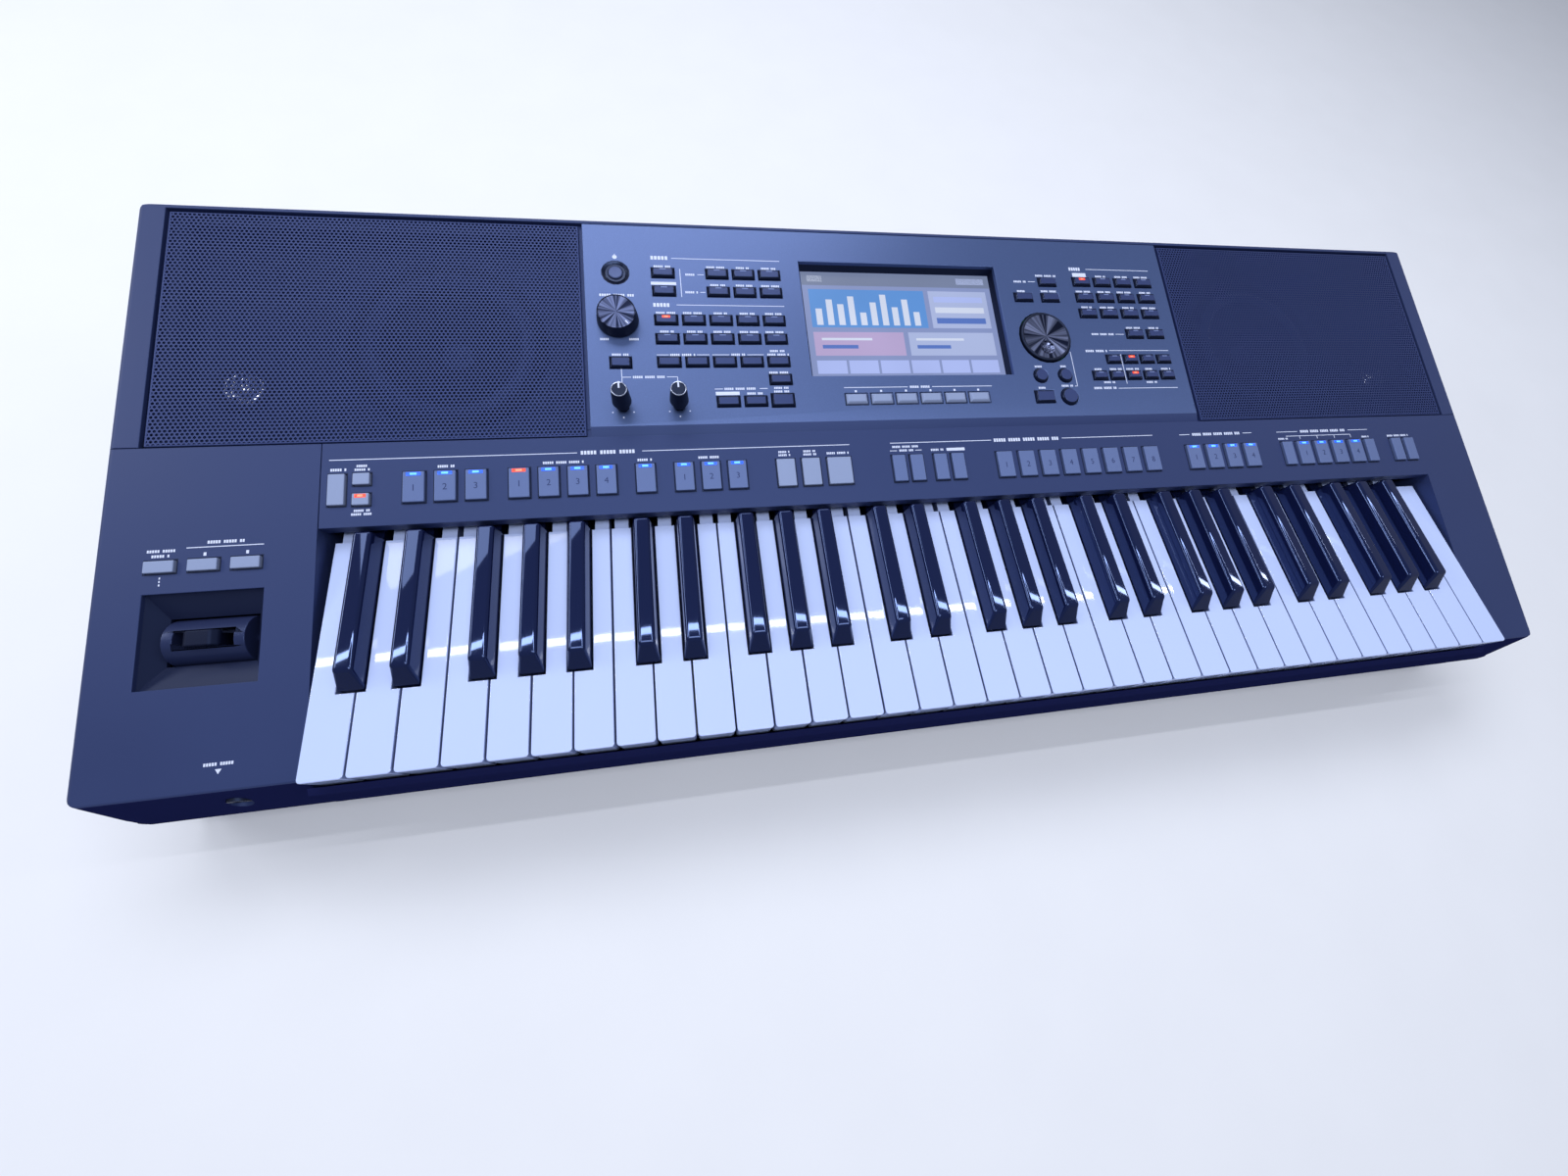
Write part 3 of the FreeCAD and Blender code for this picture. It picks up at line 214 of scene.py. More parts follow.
# Finishes with a fine relief, each named for what it really is, under what that gives the eye: a colour (a
# hex code or a name in KeyboardColours), the grain's width and height in millimetres, the shader's values.
FINISHES = {
    # Dark, with a soft sheen. The real eroded grain of 0.3 mm is drawn at 0.9 mm to show
    "moulded ABS, grained": ("case", 0.9, 0.03, {"Roughness": 0.5, "IOR": 1.5}),
    # Darker and duller than the deck, and it hardly mirrors the floor. Its darkness is partly a darker
    # moulding and partly painted shade, as it also dresses the front faces of the deck's mouldings
    "moulded ABS, tray": ("tray", 0.9, 0.02, {"Roughness": 0.6, "Specular IOR Level": 0.0}),
    # Polished, with a deep gloss, as in a display frame or a switch ring
    "moulded ABS, black": ("#0B0F22", 2.0, 0.005, {"Roughness": 0.28, "IOR": 1.53}),
    # Satin button caps, in the strip's grey, pale and dark
    "moulded ABS, button grey": ("grey_caps", 1.2, 0.015, {"Roughness": 0.38, "IOR": 1.53}),
    "moulded ABS, button light": ("light_caps", 1.2, 0.015, {"Roughness": 0.38, "IOR": 1.53}),
    "moulded ABS, button dark": ("dark_caps", 1.2, 0.015, {"Roughness": 0.38, "IOR": 1.53}),
    # A satin cap, lighter than the black ring round it
    "moulded ABS, switch": ("#48547F", 1.0, 0.01, {"Roughness": 0.4, "IOR": 1.53}),
    # Satin walls that mirror little, painted darker than the case: painted shade, so that the pocket looks
    # deep
    "moulded ABS, satin": ("#141A34", 1.0, 0.015, {"Roughness": 0.45, "Specular IOR Level": 0.3}),
    # Smoother than the pocket, so that its round catches a line of light
    "moulded ABS, drum": ("#20284A", 1.0, 0.01, {"Roughness": 0.32, "IOR": 1.53}),
    # Nearly black and dull
    "moulded ABS, lever": ("#0B0F24", 1.0, 0.01, {"Roughness": 0.5, "Specular IOR Level": 0.3}),
    # Painted shade in the gap round a button's hole: a nearly black frame laid on the deck
    "moulded lip, shaded": ("#0A0E22", 1.0, 0.01, {"Roughness": 0.6, "IOR": 1.5}),
    # White key tops: light enters them a little, and they mirror the lamps
    "polished acrylic, white": (
        "naturals", 3.0, 0.0005,
        {"drift": 0.02, "Roughness": 0.035, "IOR": 1.49, "Specular Tint": (1.0, 1.0, 1.0, 1.0)},
    ),
    # Sides of the white keys, dull as they leave the mould and painted darker than the tops: painted shade
    # that keeps the gaps between keys dark
    "moulded acrylic, dull": ("#6F7DAA", 1.0, 0.01, {"drift": 0.02, "Roughness": 0.6, "IOR": 1.49}),
    # Black keys: nearly all that is seen is what they mirror
    "polished acrylic, black": (
        "sharps", 3.0, 0.001, {"Roughness": 0.03, "IOR": 1.6, "Specular IOR Level": 0.65},
    ),
    # Flat and pale on the deck, flat and dark on the caps
    "screen-printed ink": ("ink", 1.0, 0.005, {"Roughness": 0.55, "IOR": 1.5}),
    "screen-printed ink, dark": ("#2A335C", 1.0, 0.005, {"Roughness": 0.55, "IOR": 1.5}),
    # An unlit lens shows the pale plastic under it
    "clear lens, unlit": ("#6B7AAC", 2.0, 0.005, {"Roughness": 0.3, "IOR": 1.5}),
    # Nearly black, with a wide dull sheen
    "soft-touch rubber": ("#0C0F1D", 0.8, 0.03, {"Roughness": 0.5, "IOR": 1.5}),
    # Black and dull all over
    "moulded rubber, black": ("#15171F", 1.0, 0.04, {"Roughness": 0.8, "IOR": 1.5}),
    # The ring round a cone: a shade lighter than its paper, so that it shows through the holes
    "butyl rubber": ("#39446F", 1.5, 0.02, {"Roughness": 0.5, "IOR": 1.5}),
    # Dull, with its fibres showing
    "pressed paper, dark": ("#23283C", 1.6, 0.08, {"drift": 0.2, "Roughness": 0.85, "IOR": 1.5}),
    # Dull black socket bodies
    "moulded nylon, black": ("#10131F", 1.0, 0.02, {"Roughness": 0.45, "IOR": 1.53}),
    # Punched or folded sheet with a dull sheen
    "powder-coated steel": ("grille", 0.8, 0.02, {"Roughness": 0.5, "Metallic": 0.2}),
    "powder-coated steel, black": ("#14182A", 0.9, 0.02, {"Roughness": 0.5, "Metallic": 0.2}),
    # A bright dome, which glints through the holes
    "polished aluminium dome": ("#DDE3F5", 1.5, 0.01, {"Metallic": 1.0, "Roughness": 0.16}),
    # A bright line round a dark top
    "satin nickel ring": ("#AEB7D2", 1.5, 0.01, {"Metallic": 1.0, "Roughness": 0.3}),
    # Bright shells and collars
    "nickel-plated brass": ("#B9BFCC", 1.5, 0.01, {"Metallic": 1.0, "Roughness": 0.25}),
    # Dark screws with a faint sheen, a grey frame and a bright rod
    "steel, black zinc": ("#3A3D48", 1.5, 0.01, {"Metallic": 1.0, "Roughness": 0.4}),
    "zinc-coated steel": ("#8A8F9C", 1.5, 0.01, {"Metallic": 1.0, "Roughness": 0.45}),
    "drawn steel bar": ("#B6BAC4", 1.5, 0.01, {"Metallic": 1.0, "Roughness": 0.25}),
    # Circuit board under a green mask, with a plain sheen
    "glass-fibre laminate, green": ("#1E5A36", 2.0, 0.02, {"drift": 0.15, "Roughness": 0.4, "IOR": 1.5}),
    # Pale and dull, so that it takes a soft shadow and mirrors nothing
    "painted floor, matte": ("floor", 6.0, 0.05, {"drift": 0.02, "Roughness": 0.8, "IOR": 1.45}),
}


def made_of(name):
    """A finish of the table, with a slight drift of its colour and gloss over a hand's width."""
    ready = bpy.data.materials.get(name)
    if ready:
        return ready
    shade, grain_mm, height_mm, given = FINISHES[name]
    base = linear(shade) if shade.startswith("#") else getattr(colours(), shade)
    values = {"Specular Tint": linear(BLUE_SHEEN), **given}
    drift = values.pop("drift", 0.06)
    made, tree, shader, place = start_material(name, values)
    grain = add_node(tree, "ShaderNodeTexNoise", {"Vector": place, "Scale": 1000 / grain_mm, "Detail": 3.0})
    relief = {"Height": grain.outputs["Fac"], "Distance": height_mm / 1000, "Strength": 0.6}
    bump = add_node(tree, "ShaderNodeBump", relief)
    tree.links.new(bump.outputs["Normal"], shader.inputs["Normal"])
    hand_mm = 70
    cloud = add_node(tree, "ShaderNodeTexNoise", {"Vector": place, "Scale": 1000 / hand_mm, "Detail": 4.0})
    ends = {0: cloud.outputs["Fac"], 6: shaded(base, 1 - drift), 7: shaded(base, 1 + drift)}
    tint = add_node(tree, "ShaderNodeMix", ends, data_type="RGBA")
    tree.links.new(tint.outputs[2], shader.inputs["Base Color"])
    gloss = shader.inputs["Roughness"].default_value
    span = {"Value": cloud.outputs["Fac"], "To Min": gloss * 0.9, "To Max": min(1.0, gloss * 1.1)}
    vary = add_node(tree, "ShaderNodeMapRange", span)
    tree.links.new(vary.outputs["Result"], shader.inputs["Roughness"])
    return made


def panel_paint():
    """Metallic paint on the panel: satin, with flakes of 0.1 mm that are drawn at 0.7 mm to show."""
    made = bpy.data.materials.get("metallic paint, satin")
    if made:
        return made
    values = {"Metallic": 0.55, "Roughness": 0.38}
    made, tree, shader, place = start_material("metallic paint, satin", values)
    base = colours().panel
    flake_mm = 0.7
    flakes = add_node(tree, "ShaderNodeTexVoronoi", {"Vector": place, "Scale": 1000 / flake_mm})
    ends = {0: flakes.outputs["Distance"], 6: shaded(base, 0.93), 7: shaded(base, 1.1)}
    tint = add_node(tree, "ShaderNodeMix", ends, data_type="RGBA")
    tree.links.new(tint.outputs[2], shader.inputs["Base Color"])
    relief = {"Height": flakes.outputs["Distance"], "Distance": 0.00002, "Strength": 0.25}
    bump = add_node(tree, "ShaderNodeBump", relief)
    tree.links.new(bump.outputs["Normal"], shader.inputs["Normal"])
    return made


def glowing(name, shade, patch_mm, low, high, values):
    """A glowing finish whose light drifts between two shares of its colour, from patch to patch."""
    ready = bpy.data.materials.get(name)
    if ready:
        return ready
    made, tree, shader, place = start_material(name, values)
    cloud = add_node(tree, "ShaderNodeTexNoise", {"Vector": place, "Scale": 1000 / patch_mm, "Detail": 1.0})
    ends = {0: cloud.outputs["Fac"], 6: shaded(shade, low), 7: shaded(shade, high)}
    tint = add_node(tree, "ShaderNodeMix", ends, data_type="RGBA")
    tree.links.new(tint.outputs[2], shader.inputs["Emission Color"])
    return made


def lamp_lens(name, shade, strength):
    """A clear lens over a lit diode: bright in its middle, with the colour of the light."""
    values = {"Base Color": shaded(shade, 0.5), "Roughness": 0.25, "Emission Strength": strength}
    return glowing(name, shade, 4, 0.8, 1.2, values)


def lit_glass(name, code):
    """A lit touch panel under a clear film: even light that drifts slowly, and a little gloss."""
    shade = linear(code)
    values = {"Base Color": shaded(shade, 0.05), "Roughness": 0.3, "Specular IOR Level": 0.2}
    values["Emission Strength"] = 0.95
    return glowing(name, shade, 60, 0.88, 1.1, values)


def spun_aluminium(name, at, height, dark, light):
    """Turned aluminium, anodised dark: its fine rings smear each light into a fan of streaks, and spokes
    between a dark and a light colour are painted round its centre as painted reflection streaks.
    """
    values = {"Metallic": 1.0, "Roughness": 0.34, "Anisotropic": 0.8}
    made, tree, shader, place = start_material(name, values)
    centre = DECK @ Vector((*at, height))
    off = add_node(tree, "ShaderNodeVectorMath", {0: place, 1: centre}, operation="SUBTRACT").outputs[0]
    ring = add_node(tree, "ShaderNodeVectorMath", {0: DECK_NORMAL, 1: off}, operation="CROSS_PRODUCT")
    tree.links.new(ring.outputs[0], shader.inputs["Tangent"])
    spoke = add_node(tree, "ShaderNodeVectorMath", {0: off}, operation="NORMALIZE").outputs[0]
    streaks = {"Vector": spoke, "Scale": 3.4, "Detail": 5.0, "Roughness": 0.6}
    fan = add_node(tree, "ShaderNodeTexNoise", streaks)
    # Lighter spokes in the colour: a painted reflection of the lamps in the turned rings
    span = {"Value": fan.outputs["Fac"], "From Min": 0.44, "From Max": 0.64}
    painted_streak_share = add_node(tree, "ShaderNodeMapRange", span).outputs["Result"]
    tint = add_node(tree, "ShaderNodeMix", {0: painted_streak_share, 6: linear(dark), 7: linear(light)}, data_type="RGBA")
    tree.links.new(tint.outputs[2], shader.inputs["Base Color"])
    return made


# Shapes


def copy_of(node, place):
    """A node's solids with their triangles merged into flat faces, drawn in the measures of a place."""
    bm = bmesh.new()
    bm.from_mesh(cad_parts[node].data)
    bmesh.ops.remove_doubles(bm, verts=bm.verts, dist=1e-6)
    flat = math.radians(0.3)
    bmesh.ops.dissolve_limit(bm, angle_limit=flat, verts=bm.verts, edges=bm.edges)
    bmesh.ops.transform(bm, matrix=place.inverted(), verts=bm.verts)
    return bm


def middle(edge):
    """The middle of an edge."""
    return (edge.verts[0].co + edge.verts[1].co) / 2


def ease(bm, width, segments, chosen):
    """Rounds the sharp outward edges that chosen() picks, by a width in millimetres."""
    edges = [e for e in bm.edges if e.is_manifold and e.calc_face_angle_signed(0) > SHARP and chosen(e)]
    bmesh.ops.bevel(
        bm, geom=edges, offset=width, offset_type="OFFSET", segments=segments, profile=0.5, affect="EDGES",
        material=-1, clamp_overlap=False,
    )


def above(height):
    """A test for the edges that lie wholly above a height."""
    return lambda edge: min(vert.co.z for vert in edge.verts) > height


def round_corner(bm, side, ahead, reach):
    """Rounds a corner of the deck: side is -1 or 1, and ahead is 1 at the rear, -1 in front.

    The rounding follows the lean of the case's front or rear, and runs out down the rear."""
    lean = Vector((SIDE_LEAN * side, REAR_LEAN if ahead > 0 else FRONT_LEAN, 1))
    end = DECK_REAR if ahead > 0 else DECK_FRONT
    run_out = 25.0 if ahead > 0 else 1000.0
    centre = Vector((side * (HALF_WIDTH - reach), end - ahead * reach, 0))

    def steps(point):
        """How far a point is out to the side and to the end of the corner's leaning middle line."""
        off = point - centre - lean * point.z
        return off.x * side, off.y * ahead

    spokes = 9
    for spoke in range(spokes + 1):
        bearing = math.radians(90 * spoke / spokes)
        spread = Vector((side * math.cos(bearing), ahead * math.sin(bearing), 0))
        near = [face for face in bm.faces if any(min(steps(vert.co)) > 0.01 for vert in face.verts)]
        parts = {part for face in near for part in (face, *face.edges, *face.verts)}
        bmesh.ops.bisect_plane(bm, geom=list(parts), dist=1e-4, plane_co=centre, plane_no=spread.cross(lean))
    for vert in bm.verts:
        out, past = steps(vert.co)
        far = math.hypot(out, past)
        if min(out, past) > 0 and far > reach:
            cut = (1 - reach / far) * max(0.0, min(1.0, 1 + vert.co.z / run_out))
            vert.co.x -= out * cut * side
            vert.co.y -= past * cut * ahead


def block(bm, x0, x1, y0, y1, z0, z1, finish=0):
    """A box between two corners."""
    centre = Matrix.Translation(((x0 + x1) / 2, (y0 + y1) / 2, (z0 + z1) / 2))
    size = Matrix.Diagonal((x1 - x0, y1 - y0, z1 - z0, 1))
    made = bmesh.ops.create_cube(bm, size=1, matrix=centre @ size)["verts"]
    for face in {face for vert in made for face in vert.link_faces}:
        face.material_index = finish
    return made


def spun(bm, profile, x, y, steps, finish=0):
    """A turning about the upright at (x, y), from (radius, height) points that start and end on it."""
    before = set(bm.faces)
    chain = [bm.verts.new((x + radius, y, height)) for radius, height in profile]
    edges = [bm.edges.new(pair) for pair in zip(chain, chain[1:])]
    bmesh.ops.spin(
        bm, geom=chain + edges, cent=(x, y, 0), axis=(0, 0, 1), angle=FULL_TURN, steps=steps, use_merge=True
    )
    faces = [face for face in bm.faces if face not in before]
    bmesh.ops.remove_doubles(bm, verts=list({vert for face in faces for vert in face.verts}), dist=1e-4)
    faces = [face for face in bm.faces if face not in before]
    bmesh.ops.recalc_face_normals(bm, faces=faces)
    for face in faces:
        face.material_index = finish
    return faces


def add_piece(name, bm, finishes, body, place, replaces=()):
    """A finished piece from a drawing in millimetres, riding on its body and standing for CAD nodes."""
    bmesh.ops.transform(bm, matrix=place, verts=bm.verts)
    for face in bm.faces:
        face.smooth = True
    mesh = bpy.data.meshes.new(name)
    bm.to_mesh(mesh)
    bm.free()
    mesh.set_sharp_from_angle(angle=CREASE)
    for finish in finishes:
        mesh.materials.append(finish)
    piece = bpy.data.objects.new(name, mesh)
    bpy.context.scene.collection.objects.link(piece)
    weight = piece.modifiers.new("Weighted normals", "WEIGHTED_NORMAL")
    weight.keep_sharp = True
    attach(piece, body)
    if replaces:
        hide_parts(*replaces)
    return piece


def caps(node):
    """The box of each cap of a node on the deck: (x0, x1, v0, v1), from the left, then from the front."""
    bm = copy_of(node, DECK)
    waiting = set(bm.verts)
    boxes = []
    while waiting:
        reached = [waiting.pop()]
        for vert in reached:
            for edge in vert.link_edges:
                other = edge.other_vert(vert)
                if other in waiting:
                    waiting.remove(other)
                    reached.append(other)
        skirt_top = -1
        top = [vert.co for vert in reached if vert.co.z > skirt_top]
        xs = [point.x for point in top]
        vs = [point.y for point in top]
        boxes.append((min(xs), max(xs), min(vs), max(vs)))
    bm.free()
    return sorted(boxes, key=lambda box: (round(box[0] + box[1]), box[2]))


def hoop(bm, box, width, low, high):
    """A flat frame inside a box's outline, with an open middle, between two heights."""
    x0, x1, y0, y1 = box
    plate = bm.faces.new([bm.verts.new((x, y, high)) for x, y in ((x0, y0), (x1, y0), (x1, y1), (x0, y1))])
    plate.normal_update()
    sides = bmesh.ops.inset_individual(bm, faces=[plate], thickness=width)["faces"]
    bmesh.ops.delete(bm, geom=[plate], context="FACES_ONLY")
    made = bmesh.ops.extrude_face_region(bm, geom=sides, use_keep_orig=True)["geom"]
    lowered = [item for item in made if isinstance(item, bmesh.types.BMVert)]
    bmesh.ops.translate(bm, verts=lowered, vec=(0, 0, low - high))
    around = {face for vert in lowered for face in vert.link_faces}
    bmesh.ops.recalc_face_normals(bm, faces=list(around | set(sides)))


def surround(bm, box, width):
    """A thin dark frame on the deck round the gap of a cap: painted shade in the gap."""
    x0, x1, v0, v1 = box
    gap = 0.35
    thick = 0.03
    out = gap + width
    hoop(bm, (x0 - out, x1 + out, v0 - out, v1 + out), width, 0, thick)


def add_text(bm, body, size, x, v, h, finish):
    """A plain number, centred at (x, v) and standing on height h."""
    curve = bpy.data.curves.new("number", "FONT")
    curve.body = body
    curve.size = size
    curve.align_x = "CENTER"
    curve.align_y = "CENTER"
    curve.extrude = mm("print_height") / 2
    curve.resolution_u = 3
    holder = bpy.data.objects.new("number", curve)
    bpy.context.scene.collection.objects.link(holder)
    bpy.context.view_layer.update()
    mesh = bpy.data.meshes.new_from_object(holder.evaluated_get(bpy.context.evaluated_depsgraph_get()))
    mesh.transform(Matrix.Translation((x, v, h + curve.extrude)))
    before = set(bm.faces)
    bm.from_mesh(mesh)
    for face in bm.faces:
        if face not in before:
            face.material_index = finish
    bpy.data.objects.remove(holder)
    bpy.data.curves.remove(curve)
    bpy.data.meshes.remove(mesh)


# Operators


class KEYBOARD_OT_case(bpy.types.Operator):
    """Case mouldings with eased edges: tray, strip, left end and rear top"""

    bl_idname = "keyboard.case"
    bl_label = "Case mouldings"

    def execute(self, context):
        tray = copy_of("bottom_case", MILLI)
        ease(tray, mm("slip_edge"), 3, above(SLIP_Z))
        ease(tray, mm("seam"), 2, self.at_seam)
        dull = made_of("moulded ABS, tray")
        add_piece("tray", tray, [dull], "case", MILLI, ["bottom_case"])
        for name, node, corners in (
            ("strip", "front_deck", ((1, -1),)), ("left_end", "left_end_block", ((-1, -1),)),
            ("rear_top", "upper_frame", ((-1, 1), (1, 1))),
        ):
            shell = copy_of(node, DECK)
            for face in shell.faces:
                # Faces at the front take the tray's darker finish: painted shade on faces that lie in shade
                in_front_shade = face.normal.y < -0.6 and face.calc_center_median().y < DECK_FRONT + 4
                face.material_index = int(in_front_shade)
            for side, ahead in corners:
                round_corner(shell, side, ahead, mm("rear_corner" if ahead > 0 else "deck_corner"))
            ease(shell, mm("deck_edge"), 2, above(FLUSH))
            bmesh.ops.transform(shell, matrix=MILLI.inverted() @ DECK, verts=shell.verts)
            ease(shell, mm("rear_edge"), 3, self.down_rear)
            for vert in shell.verts:
                vert.co.y = min(vert.co.y, CASE_REAR)
            ease(shell, mm("seam"), 2, self.at_seam)
            finishes = [made_of("moulded ABS, grained"), dull]
            add_piece(name, shell, finishes, "case", MILLI, [node])
        return {"FINISHED"}

    def at_seam(self, edge):
        """Whether an edge lies along the seam round the case."""
        return max(abs(vert.co.z - SEAM_Z) for vert in edge.verts) < 0.05

    def down_rear(self, edge):
        """Whether an edge runs down a rear corner of the case."""
        spot = middle(edge)
        falls = abs(edge.verts[0].co.z - edge.verts[1].co.z) > 5
        return falls and abs(spot.x) > HALF_WIDTH - 11 and spot.y > 160


class KEYBOARD_OT_panel(bpy.types.Operator):
    """Control panel in metallic paint, with eased openings"""

    bl_idname = "keyboard.panel"
    bl_label = "Control panel"

    def execute(self, context):
        panel = copy_of("fascia_panel", DECK)
        for face in panel.faces:
            spot = face.calc_center_median()
            switch_well = math.dist(spot.xy, POWER_AT) < 9.9 and face.normal.z < 0.99
            # The step at the front faces forward and takes the darker case finish: painted shade
            front_step_shade = spot.y < 7 and face.normal.y < -0.1
            face.material_index = 2 if switch_well else int(front_step_shade)
        ease(panel, mm("deck_edge"), 2, above(FLUSH))
        finishes = [panel_paint(), made_of("moulded ABS, grained"), made_of("moulded ABS, black")]
        add_piece("control_panel", panel, finishes, "case", DECK, ["fascia_panel"])
        return {"FINISHED"}


class KEYBOARD_OT_display(bpy.types.Operator):
    """Display: its frame, the glass and a generic lit picture"""

    bl_idname = "keyboard.display"
    bl_label = "Display"

    def execute(self, context):
        black = made_of("moulded ABS, black")
        rim = copy_of("display_bezel", DECK)
        add_piece("display_frame", rim, [black], "case", DECK, ["display_bezel"])
        glass = copy_of("display_screen", DECK)
        add_piece("display_glass", glass, [black], "case", DECK, ["display_screen"])
        shades = ["#8593C2", "#74809F", "#5C91D6", "#A9B6DE", "#B3A3CE", "#AAB9F0", "#CFD8EE", "#5674C0"]
        finishes = [lit_glass(f"lit touch panel {index}", code) for index, code in enumerate(shades, 1)]
        picture = bmesh.new()
        ground, tile, mark = (LCD_TOP + rise for rise in (0.05, 0.1, 0.14))
        block(picture, -78.6, 78.6, 45.9, 136.1, LCD_TOP, ground, 0)
        tiles = [(-78.4, 78.4, 124.5, 135.9, 1), (-74, -62, 127.5, 133, 6), (50, 74, 127.5, 133, 3)]
        tiles += [(-74, 20, 88, 121, 2), (24, 74, 88, 121, 3), (-74, -2, 64, 84, 4), (2, 74, 64, 84, 3)]
        for at in range(6):
            tiles.append((-74 + at * 25, -51 + at * 25, 49, 60, 5))
        for x0, x1, v0, v1, shade in tiles:
            block(picture, x0, x1, v0, v1, ground, tile, shade)
        for at, level in enumerate((14, 22, 18, 25, 11, 20, 27, 16, 23, 12)):
            block(picture, -70 + at * 8.8, -65 + at * 8.8, 90, 90 + level, tile, mark, 6)
        for at, shade in enumerate((7, 6, 5)):
            block(picture, 28, 70, 92 + at * 9.5, 97 + at * 9.5, tile, mark, shade)
        for x in (-68, 8):
            block(picture, x, x + 40, 77, 79, tile, mark, 6)
            block(picture, x, x + 28, 70, 73, tile, mark, 7)
        add_piece("display_picture", picture, finishes, "case", DECK)
        return {"FINISHED"}


class KEYBOARD_OT_grilles(bpy.types.Operator):
    """Punched steel grilles with folded rims"""

    bl_idname = "keyboard.grilles"
    bl_label = "Speaker grilles"

    def execute(self, context):
        pitch = mm("hole_pitch")
        x0, x1, v0, v1 = GRILLE
        thick = 0.8
        rim_width = 1.6
        inner = (x0 + rim_width / 2, x1 - rim_width / 2, v0 + rim_width / 2, v1 - rim_width / 2)
        rise = pitch * math.sqrt(3) / 2
        columns = int((inner[1] - inner[0]) / pitch) + 3
        rows = int((inner[3] - inner[2]) / rise) + 3
        sheet = bmesh.new()
        start = Matrix.Translation((inner[0] - pitch, inner[2] - rise, GRILLE_TOP))
        bmesh.ops.create_circle(sheet, cap_ends=True, segments=6, radius=pitch / math.sqrt(3), matrix=start)
        self.repeat(sheet, columns, Vector((pitch, 0, 0)))
        pair = bmesh.ops.duplicate(sheet, geom=sheet.verts[:] + sheet.edges[:] + sheet.faces[:])["geom"]
        shifted = [item for item in pair if isinstance(item, bmesh.types.BMVert)]
        bmesh.ops.translate(sheet, verts=shifted, vec=(pitch / 2, rise, 0))
        self.repeat(sheet, (rows + 1) // 2, Vector((0, 2 * rise, 0)))
        bmesh.ops.remove_doubles(sheet, verts=sheet.verts, dist=pitch / 100)
        webs = [edge for edge in sheet.edges if len(edge.link_faces) == 2]
        made = bmesh.ops.bevel(
            sheet, geom=webs, offset=mm("hole_web") / 2, offset_type="OFFSET", segments=1, profile=0.5,
            affect="EDGES", material=-1, clamp_overlap=False,
        )["faces"]
        punched = set(sheet.faces) - set(made)
        bmesh.ops.delete(sheet, geom=list(punched), context="FACES")
        for point, out in (
            ((inner[0], 0, 0), (-1, 0, 0)), ((inner[1], 0, 0), (1, 0, 0)),
            ((0, inner[2], 0), (0, -1, 0)), ((0, inner[3], 0), (0, 1, 0)),
        ):
            everything = sheet.verts[:] + sheet.edges[:] + sheet.faces[:]
            bmesh.ops.bisect_plane(sheet, geom=everything, plane_co=point, plane_no=out, clear_outer=True)
        bmesh.ops.recalc_face_normals(sheet, faces=sheet.faces)
        if sum(face.normal.z for face in sheet.faces) < 0:
            bmesh.ops.reverse_faces(sheet, faces=sheet.faces)
        bmesh.ops.solidify(sheet, geom=sheet.faces, thickness=thick)
        low = min(vert.co.z for vert in sheet.verts)
        bmesh.ops.translate(sheet, verts=sheet.verts, vec=(0, 0, GRILLE_TOP - 0.05 - thick - low))
        rim = bmesh.new()
        hoop(rim, GRILLE, rim_width, LEDGE_TOP, GRILLE_TOP)
        ease(rim, 0.5, 2, above(GRILLE_TOP - 0.01))
        for side, where in (("left", -(x0 + x1)), ("right", 0)):
            move = DECK @ Matrix.Translation((where, 0, 0))
            finishes = [made_of("powder-coated steel")]
            node = side + "_speaker_grille"
            add_piece(side + "_grille", sheet.copy(), finishes, "case", move, [node])
            add_piece(side + "_grille_rim", rim.copy(), finishes, "case", move)
        sheet.free()
        rim.free()
        return {"FINISHED"}

    def repeat(self, bm, count, step):
        """Repeats all that is drawn, by doubling, until there are count copies in a line."""
        drawn = 1
        first = bm.verts[:] + bm.edges[:] + bm.faces[:]
        while drawn < count:
            share = bm.verts[:] + bm.edges[:] + bm.faces[:] if 2 * drawn <= count else first
            grow = drawn if 2 * drawn <= count else 1
            made = bmesh.ops.duplicate(bm, geom=share)["geom"]
            verts = [item for item in made if isinstance(item, bmesh.types.BMVert)]
            bmesh.ops.translate(bm, verts=verts, vec=step * drawn)
            drawn += grow


